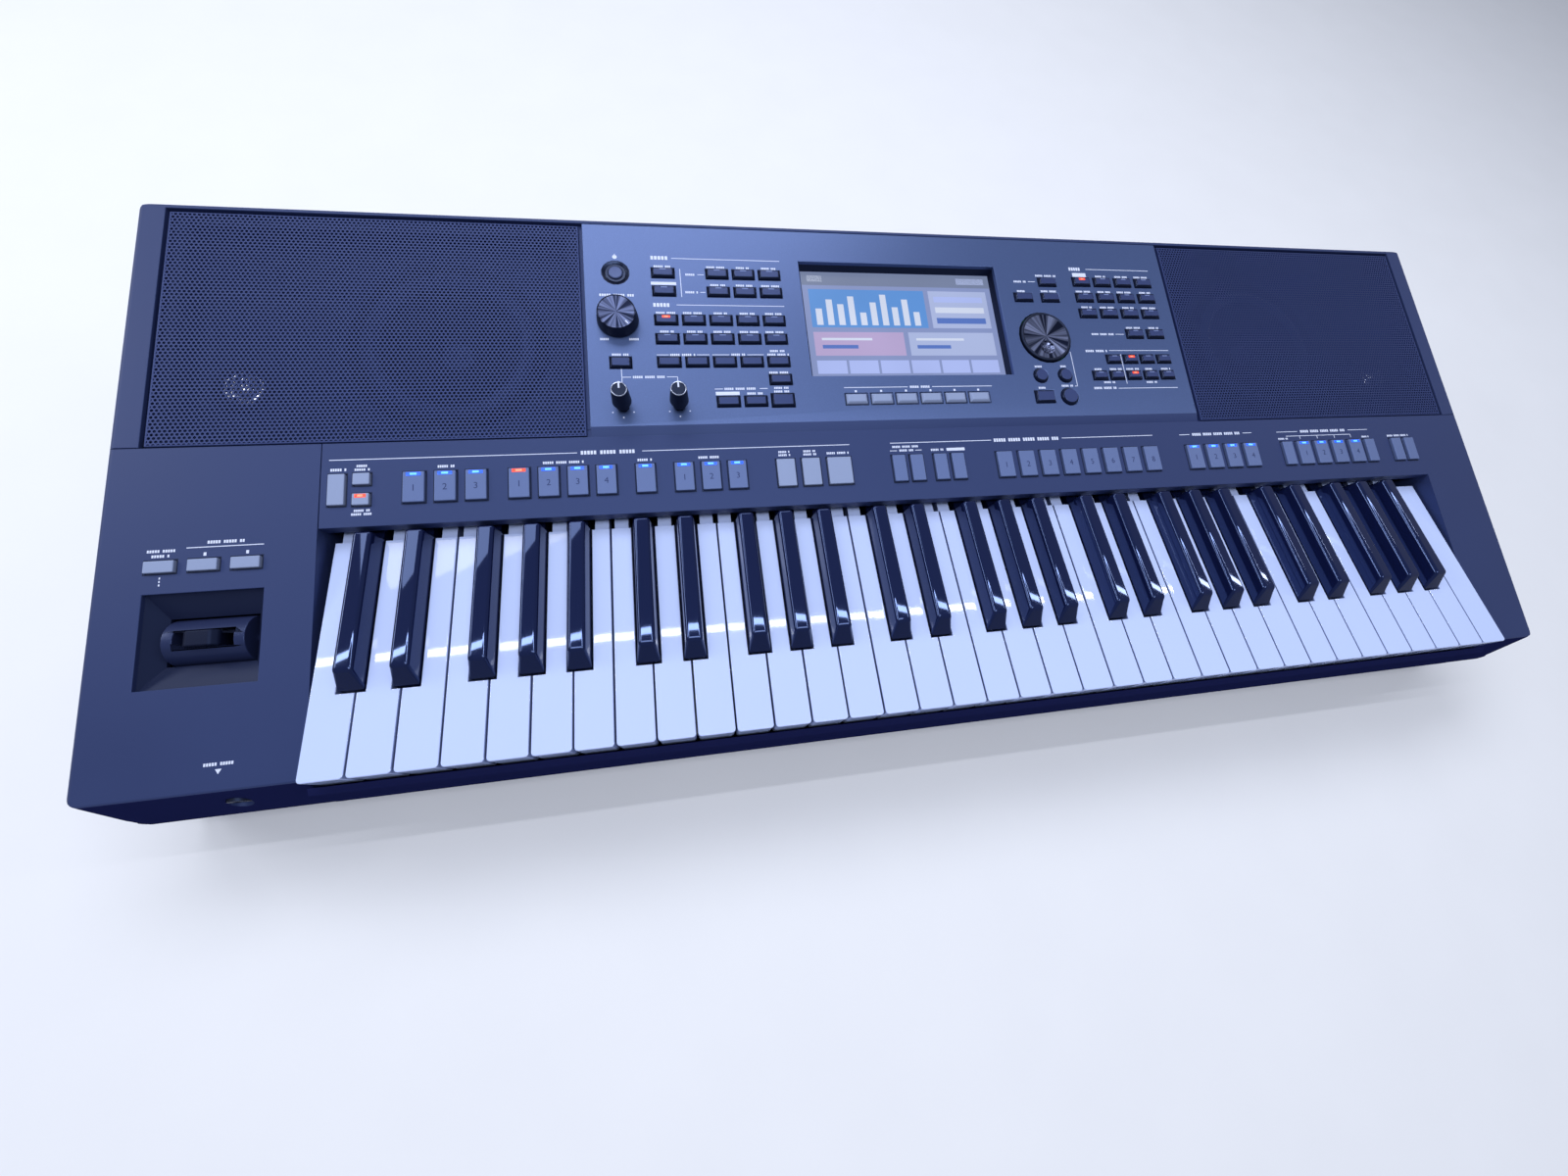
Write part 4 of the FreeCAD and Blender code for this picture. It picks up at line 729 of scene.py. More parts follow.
class KEYBOARD_OT_speakers(bpy.types.Operator):
    """Woofers and tweeters behind the grilles"""

    bl_idname = "keyboard.speakers"
    bl_label = "Speakers"

    def execute(self, context):
        top = BAFFLE_TOP
        cone = [(0, -9.0), (7, -9.6), (10, -11), (18, -13), (45, 1.2)]
        roll = [(46, 2.6), (48, 3.8), (50, 3.9), (52, 3.0), (54, 1.8)]
        flange = [(55, 2.4), (62.4, 3.0), (63, 2.4), (63, 0), (55.5, 0), (38, -32), (38, -50), (0, -50)]
        woofers = bmesh.new()
        tweeters = bmesh.new()
        dome = [(0, 2.6), (2.5, 2.3), (4.6, 1.2), (6.2, -0.6), (8.0, -0.4)]
        dome += [(9.0, 1.0), (10.2, 1.5), (11.4, 1.0), (12, 0.4)]
        plate = [(13, 1.2), (17, 1.2), (17.5, 0.8), (17.5, 0), (14.2, 0), (14.2, -16), (0, -16)]
        for side in (-1, 1):
            outline = [(radius, top + height) for radius, height in cone + roll + flange]
            x, v = side * WOOFER_AT[0], WOOFER_AT[1]
            for face in spun(woofers, outline, x, v, 48):
                reach = math.dist(face.calc_center_median().xy, (x, v))
                face.material_index = int(45 < reach < 54.5 or reach < 9)
            outline = [(radius, top + height) for radius, height in dome + plate]
            x, v = side * TWEETER_AT[0], TWEETER_AT[1]
            for face in spun(tweeters, outline, x, v, 32):
                centre = face.calc_center_median()
                face.material_index = int(math.dist(centre.xy, (x, v)) < 12.2 and centre.z > top - 2)
        finishes = [made_of("pressed paper, dark"), made_of("butyl rubber")]
        add_piece("woofer_pair", woofers, finishes, "case", DECK, ["woofers"])
        finishes = [made_of("pressed paper, dark"), made_of("polished aluminium dome")]
        add_piece("tweeter_pair", tweeters, finishes, "case", DECK, ["tweeters"])
        return {"FINISHED"}


class KEYBOARD_OT_keys(bpy.types.Operator):
    """Naturals and sharps with rounded edges"""

    bl_idname = "keyboard.keys"
    bl_label = "Keys"

    def execute(self, context):
        corner = mm("key_corner")
        edge = mm("key_edge")
        for octave in range(1, 6):
            for group in ("cegb", "dfa"):
                node = f"octave_{octave}_{group}"
                keys = copy_of(node, MILLI)
                for face in keys.faces:
                    # Side faces take the darker finish: painted shade in the gaps between keys
                    face.material_index = int(abs(face.normal.x) > 0.9)
                ease(keys, corner, 3, self.front_corner)
                ease(keys, edge, 3, above(KEY_TOP - 0.01))
                finishes = [made_of("polished acrylic, white"), made_of("moulded acrylic, dull")]
                add_piece("naturals_" + node, keys, finishes, node, MILLI, [node])
            node = f"octave_{octave}_sharps"
            keys = copy_of(node, MILLI)
            ease(keys, mm("sharp_edge"), 5, lambda e: middle(e).z > KEY_TOP + 1)
            finishes = [made_of("polished acrylic, black")]
            add_piece("sharps_" + node, keys, finishes, node, MILLI, [node])
        return {"FINISHED"}

    def front_corner(self, edge):
        """Whether an edge is an upright at the front of a natural."""
        low, high = sorted(edge.verts, key=lambda vert: vert.co.z)
        upright = (high.co - low.co).normalized().z > 0.99
        return upright and high.co.z > KEY_TOP - 0.01 and abs(high.co.y - KEY_FRONT) < 0.01


class KEYBOARD_OT_strip_buttons(bpy.types.Operator):
    """Pale and grey buttons of the strip, the left end and the display, with their numbers"""

    bl_idname = "keyboard.strip_buttons"
    bl_label = "Strip buttons"

    def execute(self, context):
        edge = mm("cap_edge")
        shade = bmesh.new()
        numbered = {
            "intro_buttons": (0, 1, 2), "main_break_buttons": (0, 1, 2, 3), "ending_buttons": (0, 1, 2),
            "registration_buttons": tuple(range(4, 12)), "one_touch_buttons": (0, 1, 2, 3),
            "multi_pad_buttons": (1, 2, 3, 4),
        }
        for node, slot in STRIP_GROUPS.items():
            group = copy_of(node, DECK)
            ease(group, edge, 3, lambda e: middle(e).z > -0.6)
            boxes = caps(node)
            for box in boxes:
                # A dark frame round each cap: painted shade in its gap
                surround(shade, box, 0.7)
            for number, at in enumerate(numbered.get(node, ()), 1):
                x0, x1, v0, v1 = boxes[at]
                add_text(group, str(number), 6.0, (x0 + x1) / 2, (v0 + v1) / 2 - 1.0, BUTTON_TOP, 1)
            cap = made_of("moulded ABS, " + slot.replace("_", " "))
            finishes = [cap, made_of("screen-printed ink, dark")]
            add_piece("caps_" + node, group, finishes, node, DECK, [node])
        add_piece("strip_gaps", shade, [made_of("moulded lip, shaded")], "case", DECK)
        return {"FINISHED"}


class KEYBOARD_OT_panel_buttons(bpy.types.Operator):
    """Dark panel buttons: black sloping sides and a satin top"""

    bl_idname = "keyboard.panel_buttons"
    bl_label = "Panel buttons"

    def execute(self, context):
        finishes = [made_of("moulded ABS, black"), made_of("moulded ABS, button dark")]
        shade = bmesh.new()
        for node in PANEL_GROUPS:
            group = copy_of(node, DECK)
            if node != "menu_buttons":
                for box in caps(node):
                    # A dark frame round each cap: painted shade in its gap
                    surround(shade, box, 0.25)
            for face in group.faces:
                on_top = face.calc_center_median().z > BUTTON_TOP - 0.05 and face.normal.z > 0.99
                face.material_index = int(on_top)
            ease(group, 0.3, 2, above(BUTTON_TOP - 0.01))
            add_piece("caps_" + node, group, finishes, node, DECK, [node])
        add_piece("panel_gaps", shade, [made_of("moulded lip, shaded")], "case", DECK)
        return {"FINISHED"}


class KEYBOARD_OT_lamps(bpy.types.Operator):
    """Lamps in the buttons: blue and red ones lit, and dull lenses in the rest of the panel"""

    bl_idname = "keyboard.lamps"
    bl_label = "Button lamps"

    def execute(self, context):
        blue = {
            "intro_buttons": (0, 1, 2), "main_break_buttons": (1, 2, 3, 4), "ending_buttons": (0, 1, 2),
            "one_touch_buttons": (0, 1, 2, 3), "multi_pad_buttons": (1, 2, 3, 4),
        }
        red = {"main_break_buttons": (0,), "style_utility_buttons": (1,)}
        chosen = {"style_buttons": ((-182.5, 87.8),), "voice_buttons": ((158.0, 126.7),)}
        chosen["part_buttons"] = ((187.4, 55.8), (187.4, 41.4))
        finishes = [
            lamp_lens("blue diode lens", colours().blue_lamp, 1.0),
            lamp_lens("red diode lens", colours().red_lamp, 0.9),
            made_of("clear lens, unlit"),
            lamp_lens("blue diode heart", linear("#5FB4FF"), 1.2),
            lamp_lens("red diode heart", linear("#FF8A70"), 1.1),
        ]
        for node in sorted(set(blue) | set(red)):
            lamps = bmesh.new()
            boxes = caps(node)
            for finish, places in ((0, blue.get(node, ())), (1, red.get(node, ()))):
                for at in places:
                    x0, x1, v0, v1 = boxes[at]
                    inset = (x1 - x0) * 0.16
                    self.lens(lamps, x0 + inset, x1 - inset, v1 - 2.9, v1 - 0.6, finish)
            add_piece("lamps_" + node, lamps, finishes, node, DECK)
        for node in LENSED_GROUPS:
            lamps = bmesh.new()
            for x0, x1, v0, v1 in caps(node):
                centre = (x0 + x1) / 2
                lit = any(abs(centre - x) < 1 and v0 < v < v1 for x, v in chosen.get(node, ()))
                reach = 2.8 if lit else 2.2
                depth = 1.9 if lit else 0.9
                self.lens(lamps, centre - reach, centre + reach, v1 - 1.6 - depth, v1 - 1.6, 1 if lit else 2)
            add_piece("lamps_" + node, lamps, finishes, node, DECK)
        return {"FINISHED"}

    def lens(self, bm, x0, x1, v0, v1, finish):
        """A small clear bar, let into a cap and just proud of it. A lit one has a brighter heart."""
        block(bm, x0, x1, v0, v1, BUTTON_TOP - 0.5, BUTTON_TOP + 0.1, finish)
        lit = finish in (0, 1)
        if lit:
            narrow = (x1 - x0) * 0.27
            heart = (x0 + narrow, x1 - narrow, v0 + 0.5, v1 - 0.4)
            block(bm, *heart, BUTTON_TOP - 0.4, BUTTON_TOP + 0.13, finish + 3)


class KEYBOARD_OT_knobs(bpy.types.Operator):
    """Volume knob, two slim knobs, the data dial and the power switch"""

    bl_idname = "keyboard.knobs"
    bl_label = "Knobs and dial"

    def execute(self, context):
        self.volume()
        for number, at in enumerate(LIVE_AT, 1):
            self.slim(f"live_knob_{number}", at)
        self.dial()
        power = bmesh.new()
        crown = [(0, 0.45), (3.2, 0.5), (4.3, 0.6), (4.8, 0.2)]
        spun(power, crown + [(4.8, -3), (5.6, -3), (5.6, -4.2), (0, -4.2)], *POWER_AT, 48)
        cap = made_of("moulded ABS, switch")
        add_piece("power_switch", power, [cap], "power_button", DECK, ["power_button"])
        ring = bmesh.new()
        lip = [(5.3, -1.2), (5.5, -0.55), (7.0, -0.5), (7.3, -0.75)]
        spun(ring, lip + [(7.3, -1.78), (5.3, -1.78), (5.3, -1.2)], *POWER_AT, 48)
        add_piece("power_ring", ring, [made_of("moulded ABS, black")], "case", DECK)
        return {"FINISHED"}

    def shaft(self, bm, at, top):
        """The shaft that a knob turns on, up to a height."""
        foot, radius = -7.8, 3.0
        spun(bm, [(0, foot), (radius, foot), (radius, top), (0, top)], *at, 24)

    def volume(self):
        """A low knob with a dark tapered side and a spun face."""
        side = [(0, 0.6), (14.0, 0.6), (14.25, 0.9), (14.25, 2.0), (13.1, 8.8), (12.85, 9.3), (12.3, 9.5)]
        face = [(12.0, 9.3), (0, 9.1)]
        knob = bmesh.new()
        spun(knob, side + face, *VOLUME_AT, 96)
        for item in knob.faces:
            item.material_index = int(item.normal.z > 0.9 and item.calc_center_median().z > 9.05)
        self.shaft(knob, VOLUME_AT, 0.9)
        bearing = math.radians(-52)
        mark = block(knob, 9.4, 12.2, -0.4, 0.4, 9.1, 9.45, 2)
        where = Matrix.Translation((*VOLUME_AT, 0)) @ Matrix.Rotation(bearing, 4, "Z")
        bmesh.ops.transform(knob, matrix=where, verts=mark)
        face_metal = spun_aluminium("turned aluminium, volume", VOLUME_AT, 9.2, "#181E34", "#5E6991")
        finishes = [made_of("soft-touch rubber"), face_metal, made_of("screen-printed ink")]
        add_piece("volume_control", knob, finishes, "volume_knob", DECK, ["volume_knob"])

    def slim(self, node, at):
        """A tall slim knob with a pointer on its top and a bright ring round it."""
        knob = bmesh.new()
        neck = [(0, 0.6), (4.0, 0.6), (4.2, 0.9), (4.2, 6.8)]
        body = [(6.1, 7.0), (6.4, 7.4), (5.45, 20.6), (5.3, 21.3), (5.0, 21.5), (0, 21.6)]
        spun(knob, neck + body, *at, 64)
        ring = [(4.6, 21.5), (5.1, 21.35), (5.2, 21.75), (4.9, 22.0), (4.6, 21.9), (4.6, 21.5)]
        spun(knob, ring, *at, 64, 1)
        self.shaft(knob, at, 0.9)
        block(knob, at[0] - 0.55, at[0] + 0.55, at[1] + 0.8, at[1] + 5.35, 21.4, 22.0, 2)
        finishes = [made_of("soft-touch rubber"), made_of("satin nickel ring"), made_of("screen-printed ink")]
        add_piece("slim_" + node, knob, finishes, node, DECK, [node])

    def dial(self):
        """The data wheel: a dark rim, a spun face and a finger dimple."""
        x, v = DIAL_AT
        wheel = bmesh.new()
        under = [(0, -3.6), (21.2, -3.6), (21.4, -3.3)]
        rim = [(21.4, 1.0), (20.9, 1.55), (20.2, 1.8), (19.6, 1.7), (19.2, 1.4)]
        spun(wheel, under + rim + [(0, 1.4)], x, v, 120)
        for item in wheel.faces:
            centre = item.calc_center_median()
            item.material_index = int(item.normal.z > 0.99 and centre.z > 1.3)
        self.shaft(wheel, DIAL_AT, -3.4)
        cutter = bmesh.new()
        reach = 9.85
        bearing = math.radians(-94.5)
        spot = (x + reach * math.cos(bearing), v + reach * math.sin(bearing))
        bowl = [(0, -0.75), (2, -0.6), (3.6, -0.2), (5.0, 0.5), (6.0, 1.4), (6.4, 3.0), (0, 3.0)]
        spun(cutter, bowl, *spot, 48, 2)
        finishes = [
            made_of("soft-touch rubber"),
            spun_aluminium("turned aluminium, dial", DIAL_AT, 1.4, "#1B223C", "#8A95BE"),
            spun_aluminium("turned aluminium, dimple", spot, 0.4, "#151B31", "#8792BC"),
        ]
        tool_mesh = bpy.data.meshes.new("dimple tool")
        bmesh.ops.transform(cutter, matrix=DECK, verts=cutter.verts)
        cutter.to_mesh(tool_mesh)
        cutter.free()
        for finish in finishes:
            tool_mesh.materials.append(finish)
        tool = bpy.data.objects.new("dimple tool", tool_mesh)
        bpy.context.scene.collection.objects.link(tool)
        piece = add_piece("data_wheel", wheel, finishes, "data_dial", DECK, ["data_dial"])
        piece.modifiers.clear()
        cut = piece.modifiers.new("Dimple", "BOOLEAN")
        cut.object = tool
        cut.operation = "DIFFERENCE"
        bpy.context.view_layer.update()
        done = bpy.data.meshes.new_from_object(piece.evaluated_get(bpy.context.evaluated_depsgraph_get()))
        piece.modifiers.clear()
        piece.data = done
        done.name = "data_wheel"
        bpy.data.objects.remove(tool)
        bpy.data.meshes.remove(tool_mesh)


class KEYBOARD_OT_joystick(bpy.types.Operator):
    """Joystick: sloping pocket, rocking drum and finger lever"""

    bl_idname = "keyboard.joystick"
    bl_label = "Joystick"

    def execute(self, context):
        # The pocket's walls take a finish painted darker than the case: painted shade in the pocket
        for name, node, body, finish, slot in (
            ("joystick_pocket", "joystick_housing", "case", "satin", "joystick_plastic"),
            ("joystick_drum", "joystick_barrel", "joystick_barrel", "drum", "joystick_plastic"),
            ("joystick_paddle", "joystick_lever", "joystick_lever", "lever", "joystick_grip"),
        ):
            solid = copy_of(node, DECK)
            if finish == "drum":
                ease(solid, 0.5, 2, lambda e: e.calc_face_angle(0) > math.radians(40))
            if finish == "lever":
                ease(solid, 1.1, 3, lambda e: middle(e).z > -12)
            add_piece(name, solid, [made_of("moulded ABS, " + finish)], body, DECK, [node])
        return {"FINISHED"}


class KEYBOARD_OT_print(bpy.types.Operator):
    """Printed rules, brackets and label marks on the deck"""

    bl_idname = "keyboard.print"
    bl_label = "Deck print"

    # Rules across the deck: x from, x to, v
    RULES = {
        "strip": [
            (-392, -247, -11.4), (-204.6, -60.3, -11.4), (-29, 50.6, -11.3), (110.5, 190.4, -11.3),
            (215.8, 224.7, -11.7), (276.2, 284.4, -11.7), (383.3, 403.4, -11.9), (309.8, 330.3, -11.9),
            (318, 383.9, -15.8), (-30, -25, -17.3), (-10.5, -6, -17.3),
        ],
        "panel": [
            (-175.5, -95.8, 138.4), (-157.6, -153.4, 125.2), (-156.5, -153.4, 110.6), (-174.2, -96, 100),
            (-215.4, -209.5, 43.2), (-184.7, -177.8, 43.2), (-190.7, -182.8, 60.2),
            (-162.9, -154.4, 60.2), (-151.9, -140.3, 60.2), (-126.9, -115.4, 60.2), (-152.3, -147, 33.5),
            (-120.3, -115.1, 33.5), (109.6, 115.4, 126), (165.2, 224.8, 139), (179.4, 186.7, 78.4),
            (169.7, 225.1, 63.6), (170.4, 225.1, 30), (131.8, 133.7, 32.4), (-57.9, -9, 33.4),
            (11, 59.5, 33.4),
        ],
        "left_end": [
            (-463, -424.5, -62.6),
        ],
    }
    # Rules up the deck: x, v from, v to
    POSTS = {
        "strip": [
            (331.6, -18.4, -15.8), (349.3, -18.4, -15.8), (367, -18.4, -15.8), (384, -18.4, -15.8),
        ],
        "panel": [
            (-170.3, 106.8, 129.4), (-215.4, 35.5, 49.2), (-177.7, 35.5, 43.2), (179.1, 34.2, 60),
            (133.8, 32.4, 62.3),
        ],
        "left_end": [],
    }
    # Marks in place of words: x from, x to, v, height
    MARKS = {
        "strip": [
            (-244.4, -207.3, -11.4, 2.6), (-391.3, -382.3, -17.9, 1.7), (-377, -369.7, -15.7, 1.5),
            (-378, -369.3, -18.1, 1.5), (-377.6, -368.6, -44.7, 1.5), (-379, -367.6, -47, 1.5),
            (-331, -321, -17.7, 1.7), (-268.2, -242.5, -17.7, 1.7), (-208.3, -198.6, -17.8, 1.7),
            (-167.9, -152.5, -17.5, 1.7), (-112.2, -104.1, -15.4, 1.5), (-112.4, -103.8, -17.8, 1.5),
            (-94.4, -85.5, -15.4, 1.5), (-94.6, -85, -17.8, 1.5), (-77.6, -61.1, -17.5, 1.6),
            (53, 107.6, -11.4, 2.6), (-28, -7.9, -14.3, 1.6), (-23, -12, -17.2, 1.6),
            (1.5, 11.5, -17.5, 1.6), (227.6, 273.2, -11.7, 2.2), (333.6, 379.9, -11.9, 2.2),
            (309.5, 319.2, -18, 1.5), (395.5, 403.2, -18.4, 1.5), (422.9, 446, -18.3, 1.6),
        ],
        "panel": [
            (-227.6, -203.6, 107.2, 2.0), (-228.5, -222.5, 72.4, 1.7), (-208.9, -202.1, 72.4, 1.7),
            (-190.6, -177.9, 138.5, 3.0), (-188.7, -176.6, 131.4, 1.7), (-166.5, -159.7, 125.1, 1.7),
            (-167.5, -158.2, 110.5, 1.7), (-190.9, -176.6, 99.8, 3.0), (-221.2, -209.8, 60.4, 1.7),
            (-208, -186.2, 43.2, 1.8), (-181.6, -163.9, 60.2, 1.7), (-138.5, -128.4, 60.3, 1.7),
            (-110.2, -99.2, 63.2, 1.6), (-112.4, -96.3, 60.3, 1.6), (-112.4, -97.1, 45.9, 1.7),
            (-145.7, -122.1, 33.5, 1.7), (-129.9, -118.6, 29.7, 1.7), (-110.1, -99.4, 33.8, 1.6),
            (-110.4, -99.2, 31, 1.6), (117, 135.7, 131.7, 1.7), (96.5, 107.5, 125.8, 1.7),
            (97.8, 106.2, 117, 1.7), (119.1, 133.1, 117.3, 1.7), (149.3, 162.2, 138.9, 3.0),
            (157, 177.6, 78.4, 1.7), (148, 167.8, 63.2, 1.9), (158.4, 168.6, 35.3, 1.6),
            (197.5, 207.4, 35.1, 1.6), (148.3, 168.6, 30.4, 1.9), (119.8, 129.9, 32.7, 1.6),
            (99.4, 106.7, 31.2, 1.6), (99.7, 106, 49.6, 1.6), (122.2, 127.2, 49.6, 1.6),
            (-7, 9, 33.4, 1.8),
        ],
        "left_end": [
            (-482.5, -468.4, -63.8, 1.6), (-480, -471, -66.8, 1.6), (-453, -434, -59.8, 1.8),
            (-446, -431.5, -185.6, 1.7),
        ],
    }
    # Marks on a filled box: x from, x to, v, height
    BOXES = {
        "strip": [(13.8, 28.2, -17.5, 2.2)],
        "panel": [(-191.5, -173.5, 117.4, 2.4), (-152.1, -135.3, 30, 2.6), (151.5, 163.9, 133.4, 3.6)],
        "left_end": [],
    }

    def execute(self, context):
        for area, rules in self.RULES.items():
            paint = bmesh.new()
            half = mm("rule_width") / 2
            for x0, x1, v in rules:
                self.slab(paint, x0 - half, x1 + half, v - half, v + half)
            for x, v0, v1 in self.POSTS[area]:
                self.slab(paint, x - half, x + half, v0 - half, v1 + half)
            for mark in self.MARKS[area]:
                self.word(paint, *mark)
            for x0, x1, v, high in self.BOXES[area]:
                self.slab(paint, x0, x1, v - high / 2, v + high / 2)
            if area == "panel":
                self.panel_extras(paint)
            if area == "left_end":
                self.left_extras(paint)
            add_piece("print_" + area, paint, [made_of("screen-printed ink")], "case", DECK)
        return {"FINISHED"}

    def slab(self, bm, x0, x1, v0, v1):
        """A patch of ink."""
        block(bm, x0, x1, v0, v1, 0, mm("print_height"))

    def word(self, bm, x0, x1, v, high):
        """A row of upright dabs in place of a word."""
        dab_share, spread, space = 0.74, 0.78, 6
        count = max(2, round((x1 - x0) / (high * spread)))
        step = (x1 - x0) / count
        for at in range(count):
            if (at + 1) % space:
                left = x0 + at * step
                self.slab(bm, left, left + step * dab_share, v - high / 2, v + high / 2)

    def panel_extras(self, bm):
        """Marks over the panel's button rows, round the slim knobs and over the switch."""
        shares = (0.62, 0.86, 0.7, 0.92, 0.78)
        for node in LENSED_GROUPS:
            for number, (x0, x1, v0, v1) in enumerate(caps(node)):
                over = (x0 + x1) / 2
                taken = node == "song_buttons" and x1 < -170
                taken = taken or (node == "voice_buttons" and v0 > 120 and over < 160)
                taken = taken or (node == "part_buttons" and v0 > 50)
                if not taken:
                    half = (x1 - x0) * shares[number % len(shares)] / 2
                    self.word(bm, over - half, over + half, v1 + 1.7, 1.6)
        reach, half = 8.2, 0.45
        for x, v in LIVE_AT:
            for turn in (-122, 122, 180):
                bearing = math.radians(turn)
                across, up = x + reach * math.sin(bearing), v + reach * math.cos(bearing)
                self.slab(bm, across - half, across + half, up - half, up + half)
        for x0, x1, v0, v1 in caps("assignable_buttons"):
            x = (x0 + x1) / 2
            self.slab(bm, x - 0.8, x + 0.8, 29.6, 31.2)
        x, v = POWER_AT[0], 138.7
        self.slab(bm, x - 0.3, x + 0.3, v + 0.2, v + 2.0)
        disc = [(0, 0), (1.6, 0), (1.6, 0.05), (0, 0.05)]
        spun(bm, disc, x, v - 0.4, 24)

    def left_extras(self, bm):
        """Marks over the left end's buttons, and the arrow over the headphone socket."""
        for x in (-453.8, -432.4):
            self.slab(bm, x - 0.7, x + 0.7, -67.8, -65.8)
        for v in (-79.8, -81.8, -83.8):
            self.slab(bm, -475.45, -474.75, v - 0.55, v + 0.55)
        arrow = bmesh.ops.create_circle(bm, cap_ends=True, segments=3, radius=1.8)["verts"]
        place = Matrix.Translation((-438.8, -189.2, 0)) @ Matrix.Rotation(math.pi, 4, "Z")
        bmesh.ops.transform(bm, matrix=place, verts=arrow)
        face = arrow[0].link_faces[0]
        if face.normal.z < 0:
            bmesh.ops.reverse_faces(bm, faces=[face])
        made = bmesh.ops.extrude_face_region(bm, geom=[face], use_keep_orig=True)["geom"]
        lifted = [item for item in made if isinstance(item, bmesh.types.BMVert)]
        bmesh.ops.translate(bm, verts=lifted, vec=(0, 0, mm("print_height")))
        bmesh.ops.recalc_face_normals(bm, faces=list({f for v in arrow + lifted for f in v.link_faces}))


class KEYBOARD_OT_sockets(bpy.types.Operator):
    """Sockets, socket plate, feet and screws"""

    bl_idname = "keyboard.sockets"
    bl_label = "Sockets and underside"

    def execute(self, context):
        nickel = made_of("nickel-plated brass")
        for name, node, finish, slot in (
            ("socket_plate", "jack_plate", made_of("powder-coated steel, black"), "plate_steel"),
            ("phone_socket_bodies", "phone_sockets", made_of("moulded nylon, black"), "socket_plastic"),
            ("data_socket_shells", "data_sockets", nickel, "socket_plastic"),
        ):
            add_piece(name, copy_of(node, MILLI), [finish], "case", MILLI, [node])
        collars = bmesh.new()
        profile = [(3.25, 0), (6.4, 0), (6.4, 1.2), (6.0, 1.6), (3.9, 1.9), (3.25, 1.5), (3.25, 0)]
        for x in (-200.0, -172.0, -120.0, -92.0, -40.0):
            ring = {vert for face in spun(collars, profile, 0, 0, 48) for vert in face.verts}
            place = Matrix.Translation((x, 212.95, 30.0)) @ Matrix.Rotation(-math.pi / 2, 4, "X")
            bmesh.ops.transform(collars, matrix=place, verts=list(ring))
        add_piece("socket_collars", collars, [nickel], "case", MILLI)
        feet = bmesh.new()
        outline = [(0, 0), (9.6, 0), (10.3, 0.5), (11, 3.6), (11, 4.0), (0, 4.0)]
        for x, y in ((-450, -165), (450, -165), (-450, 165), (450, 165), (0, -165)):
            spun(feet, outline, x, y, 40)
        rubber = made_of("moulded rubber, black")
        add_piece("feet", feet, [rubber], "case", MILLI, ["rubber_feet"])
        screws = bmesh.new()
        head = [(0, 1.9), (2.0, 1.9), (3.3, 2.6), (3.6, 4.0), (1.5, 4.0), (1.5, 60), (0, 60)]
        spots = [(-470, -175), (-470, -30), (482, -175), (482, -30)]
        spots += [(-490, 120), (490, 120), (-262, 198), (262, 198)]
        for x, y in spots:
            spun(screws, head, x, y, 20)
        zinc = made_of("steel, black zinc")
        add_piece("screws", screws, [zinc], "case", MILLI, ["case_screws"])
        return {"FINISHED"}


class KEYBOARD_OT_inner_works(bpy.types.Operator):
    """Finishes of the inner works, whose solids are shown as they are"""

    bl_idname = "keyboard.inner_works"
    bl_label = "Inner works"

    def execute(self, context):
        coats = {
            "key_frame": made_of("zinc-coated steel"),
            "key_pivot_rod": made_of("drawn steel bar"),
            "main_board": made_of("glass-fibre laminate, green"),
            "panel_boards": made_of("glass-fibre laminate, green"),
        }
        for node, coat in coats.items():
            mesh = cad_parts[node].data
            mesh.materials.clear()
            mesh.materials.append(coat)
        return {"FINISHED"}


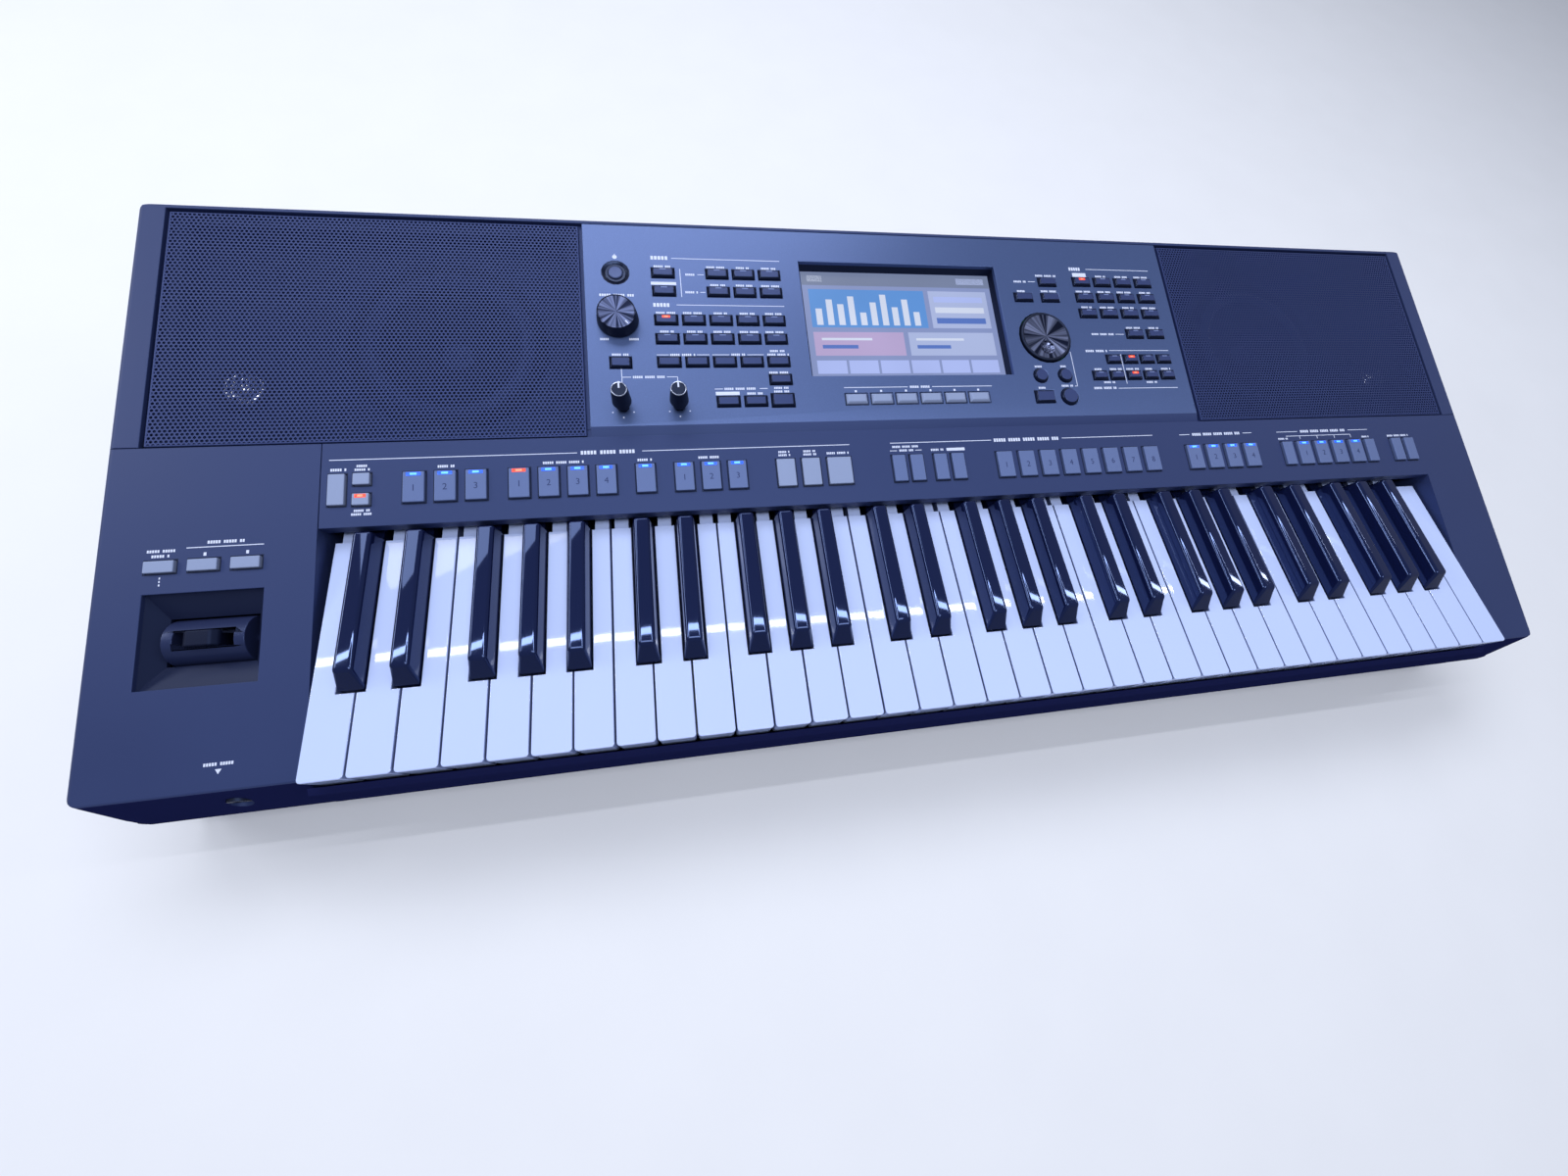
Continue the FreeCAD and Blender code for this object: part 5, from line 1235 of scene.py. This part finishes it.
class KEYBOARD_OT_stage(bpy.types.Operator):
    """Pale floor, soft studio light and the camera"""

    bl_idname = "keyboard.stage"
    bl_label = "Stage"

    def execute(self, context):
        scene = context.scene
        scene.view_settings.view_transform = "Standard"
        bm = bmesh.new()
        bmesh.ops.create_grid(bm, x_segments=1, y_segments=1, size=6)
        mesh = bpy.data.meshes.new("floor")
        bm.to_mesh(mesh)
        bm.free()
        mesh.materials.append(made_of("painted floor, matte"))
        floor = bpy.data.objects.new("floor", mesh)
        scene.collection.objects.link(floor)

        world = bpy.data.worlds.new("studio")
        world.use_nodes = True
        ground = world.node_tree.nodes["Background"]
        ground.inputs["Color"].default_value = linear("#E4E9F5")
        ground.inputs["Strength"].default_value = 0.32
        scene.world = world
        self.lamp("rear softbox", (-0.4, 1.45, 1.9), (0.0, 0.0, 0.1), 2.4, 0.9, 28)
        self.lamp("overhead softbox", (0.0, -0.55, 2.2), (0.0, -0.05, 0.1), 1.6, 0.8, 25)
        self.lamp("tube", (0.1, 0.165, 1.1), (0.1, 0.165, 0.0), 2.9, 0.018, 3.6)
        self.lamp("left strip", (-1.7, 0.5, 0.9), (0.3, -0.05, 0.1), 0.7, 0.3, 6.0)

        camera_data = bpy.data.cameras.new("camera")
        camera_data.sensor_fit = "HORIZONTAL"
        sensor_mm, focal_px, image_px = 36.0, 558.742, 1600
        camera_data.sensor_width = sensor_mm
        camera_data.lens = sensor_mm * focal_px / image_px
        camera_data.clip_start = 0.02
        camera = bpy.data.objects.new("camera", camera_data)
        scene.collection.objects.link(camera)
        right = Vector((0.9826, -0.1298, 0.1331))
        down = Vector((-0.0740, -0.9298, -0.3607))
        ahead = Vector((0.1706, 0.3445, -0.9232))
        turn = Matrix((right, -down, -ahead)).transposed().to_4x4()
        camera.matrix_world = Matrix.Translation((-0.1808, -0.2441, 0.4274)) @ turn
        scene.camera = camera
        return {"FINISHED"}

    def lamp(self, name, spot, aim, wide, deep, watts):
        """A rectangular softbox that faces a point."""
        data = bpy.data.lights.new(name, "AREA")
        data.shape = "RECTANGLE"
        data.size = wide
        data.size_y = deep
        data.energy = watts
        lamp = bpy.data.objects.new(name, data)
        lamp.location = spot
        lamp.rotation_euler = (Vector(aim) - Vector(spot)).to_track_quat("-Z", "Y").to_euler()
        bpy.context.scene.collection.objects.link(lamp)


OPERATORS = (
    KEYBOARD_OT_case, KEYBOARD_OT_panel, KEYBOARD_OT_display, KEYBOARD_OT_grilles, KEYBOARD_OT_speakers,
    KEYBOARD_OT_keys, KEYBOARD_OT_strip_buttons, KEYBOARD_OT_panel_buttons, KEYBOARD_OT_lamps,
    KEYBOARD_OT_knobs, KEYBOARD_OT_joystick, KEYBOARD_OT_print, KEYBOARD_OT_sockets, KEYBOARD_OT_inner_works,
    KEYBOARD_OT_stage,
)


class KEYBOARD_PT_pieces(bpy.types.Panel):
    """The keyboard's pieces, sizes and colours"""

    bl_idname = "KEYBOARD_PT_pieces"
    bl_label = "Arranger keyboard"
    bl_space_type = "VIEW_3D"
    bl_region_type = "UI"
    bl_category = "Keyboard"

    def draw(self, context):
        for group in (context.scene.keyboard_sizes, context.scene.keyboard_colours):
            box = self.layout.box()
            for name in group.__annotations__:
                box.prop(group, name)
        for operator in OPERATORS:
            self.layout.operator(operator.bl_idname)


CLASSES = (KeyboardColours, KeyboardSizes, *OPERATORS, KEYBOARD_PT_pieces)


def register():
    for item in CLASSES:
        bpy.utils.register_class(item)
    bpy.types.Scene.keyboard_colours = PointerProperty(type=KeyboardColours)
    bpy.types.Scene.keyboard_sizes = PointerProperty(type=KeyboardSizes)


def unregister():
    del bpy.types.Scene.keyboard_sizes
    del bpy.types.Scene.keyboard_colours
    for item in reversed(CLASSES):
        bpy.utils.unregister_class(item)


def main():
    """Builds every piece in order."""
    register()
    for operator in OPERATORS:
        group, name = operator.bl_idname.split(".")
        getattr(getattr(bpy.ops, group), name)()


if __name__ == "__main__":
    main()
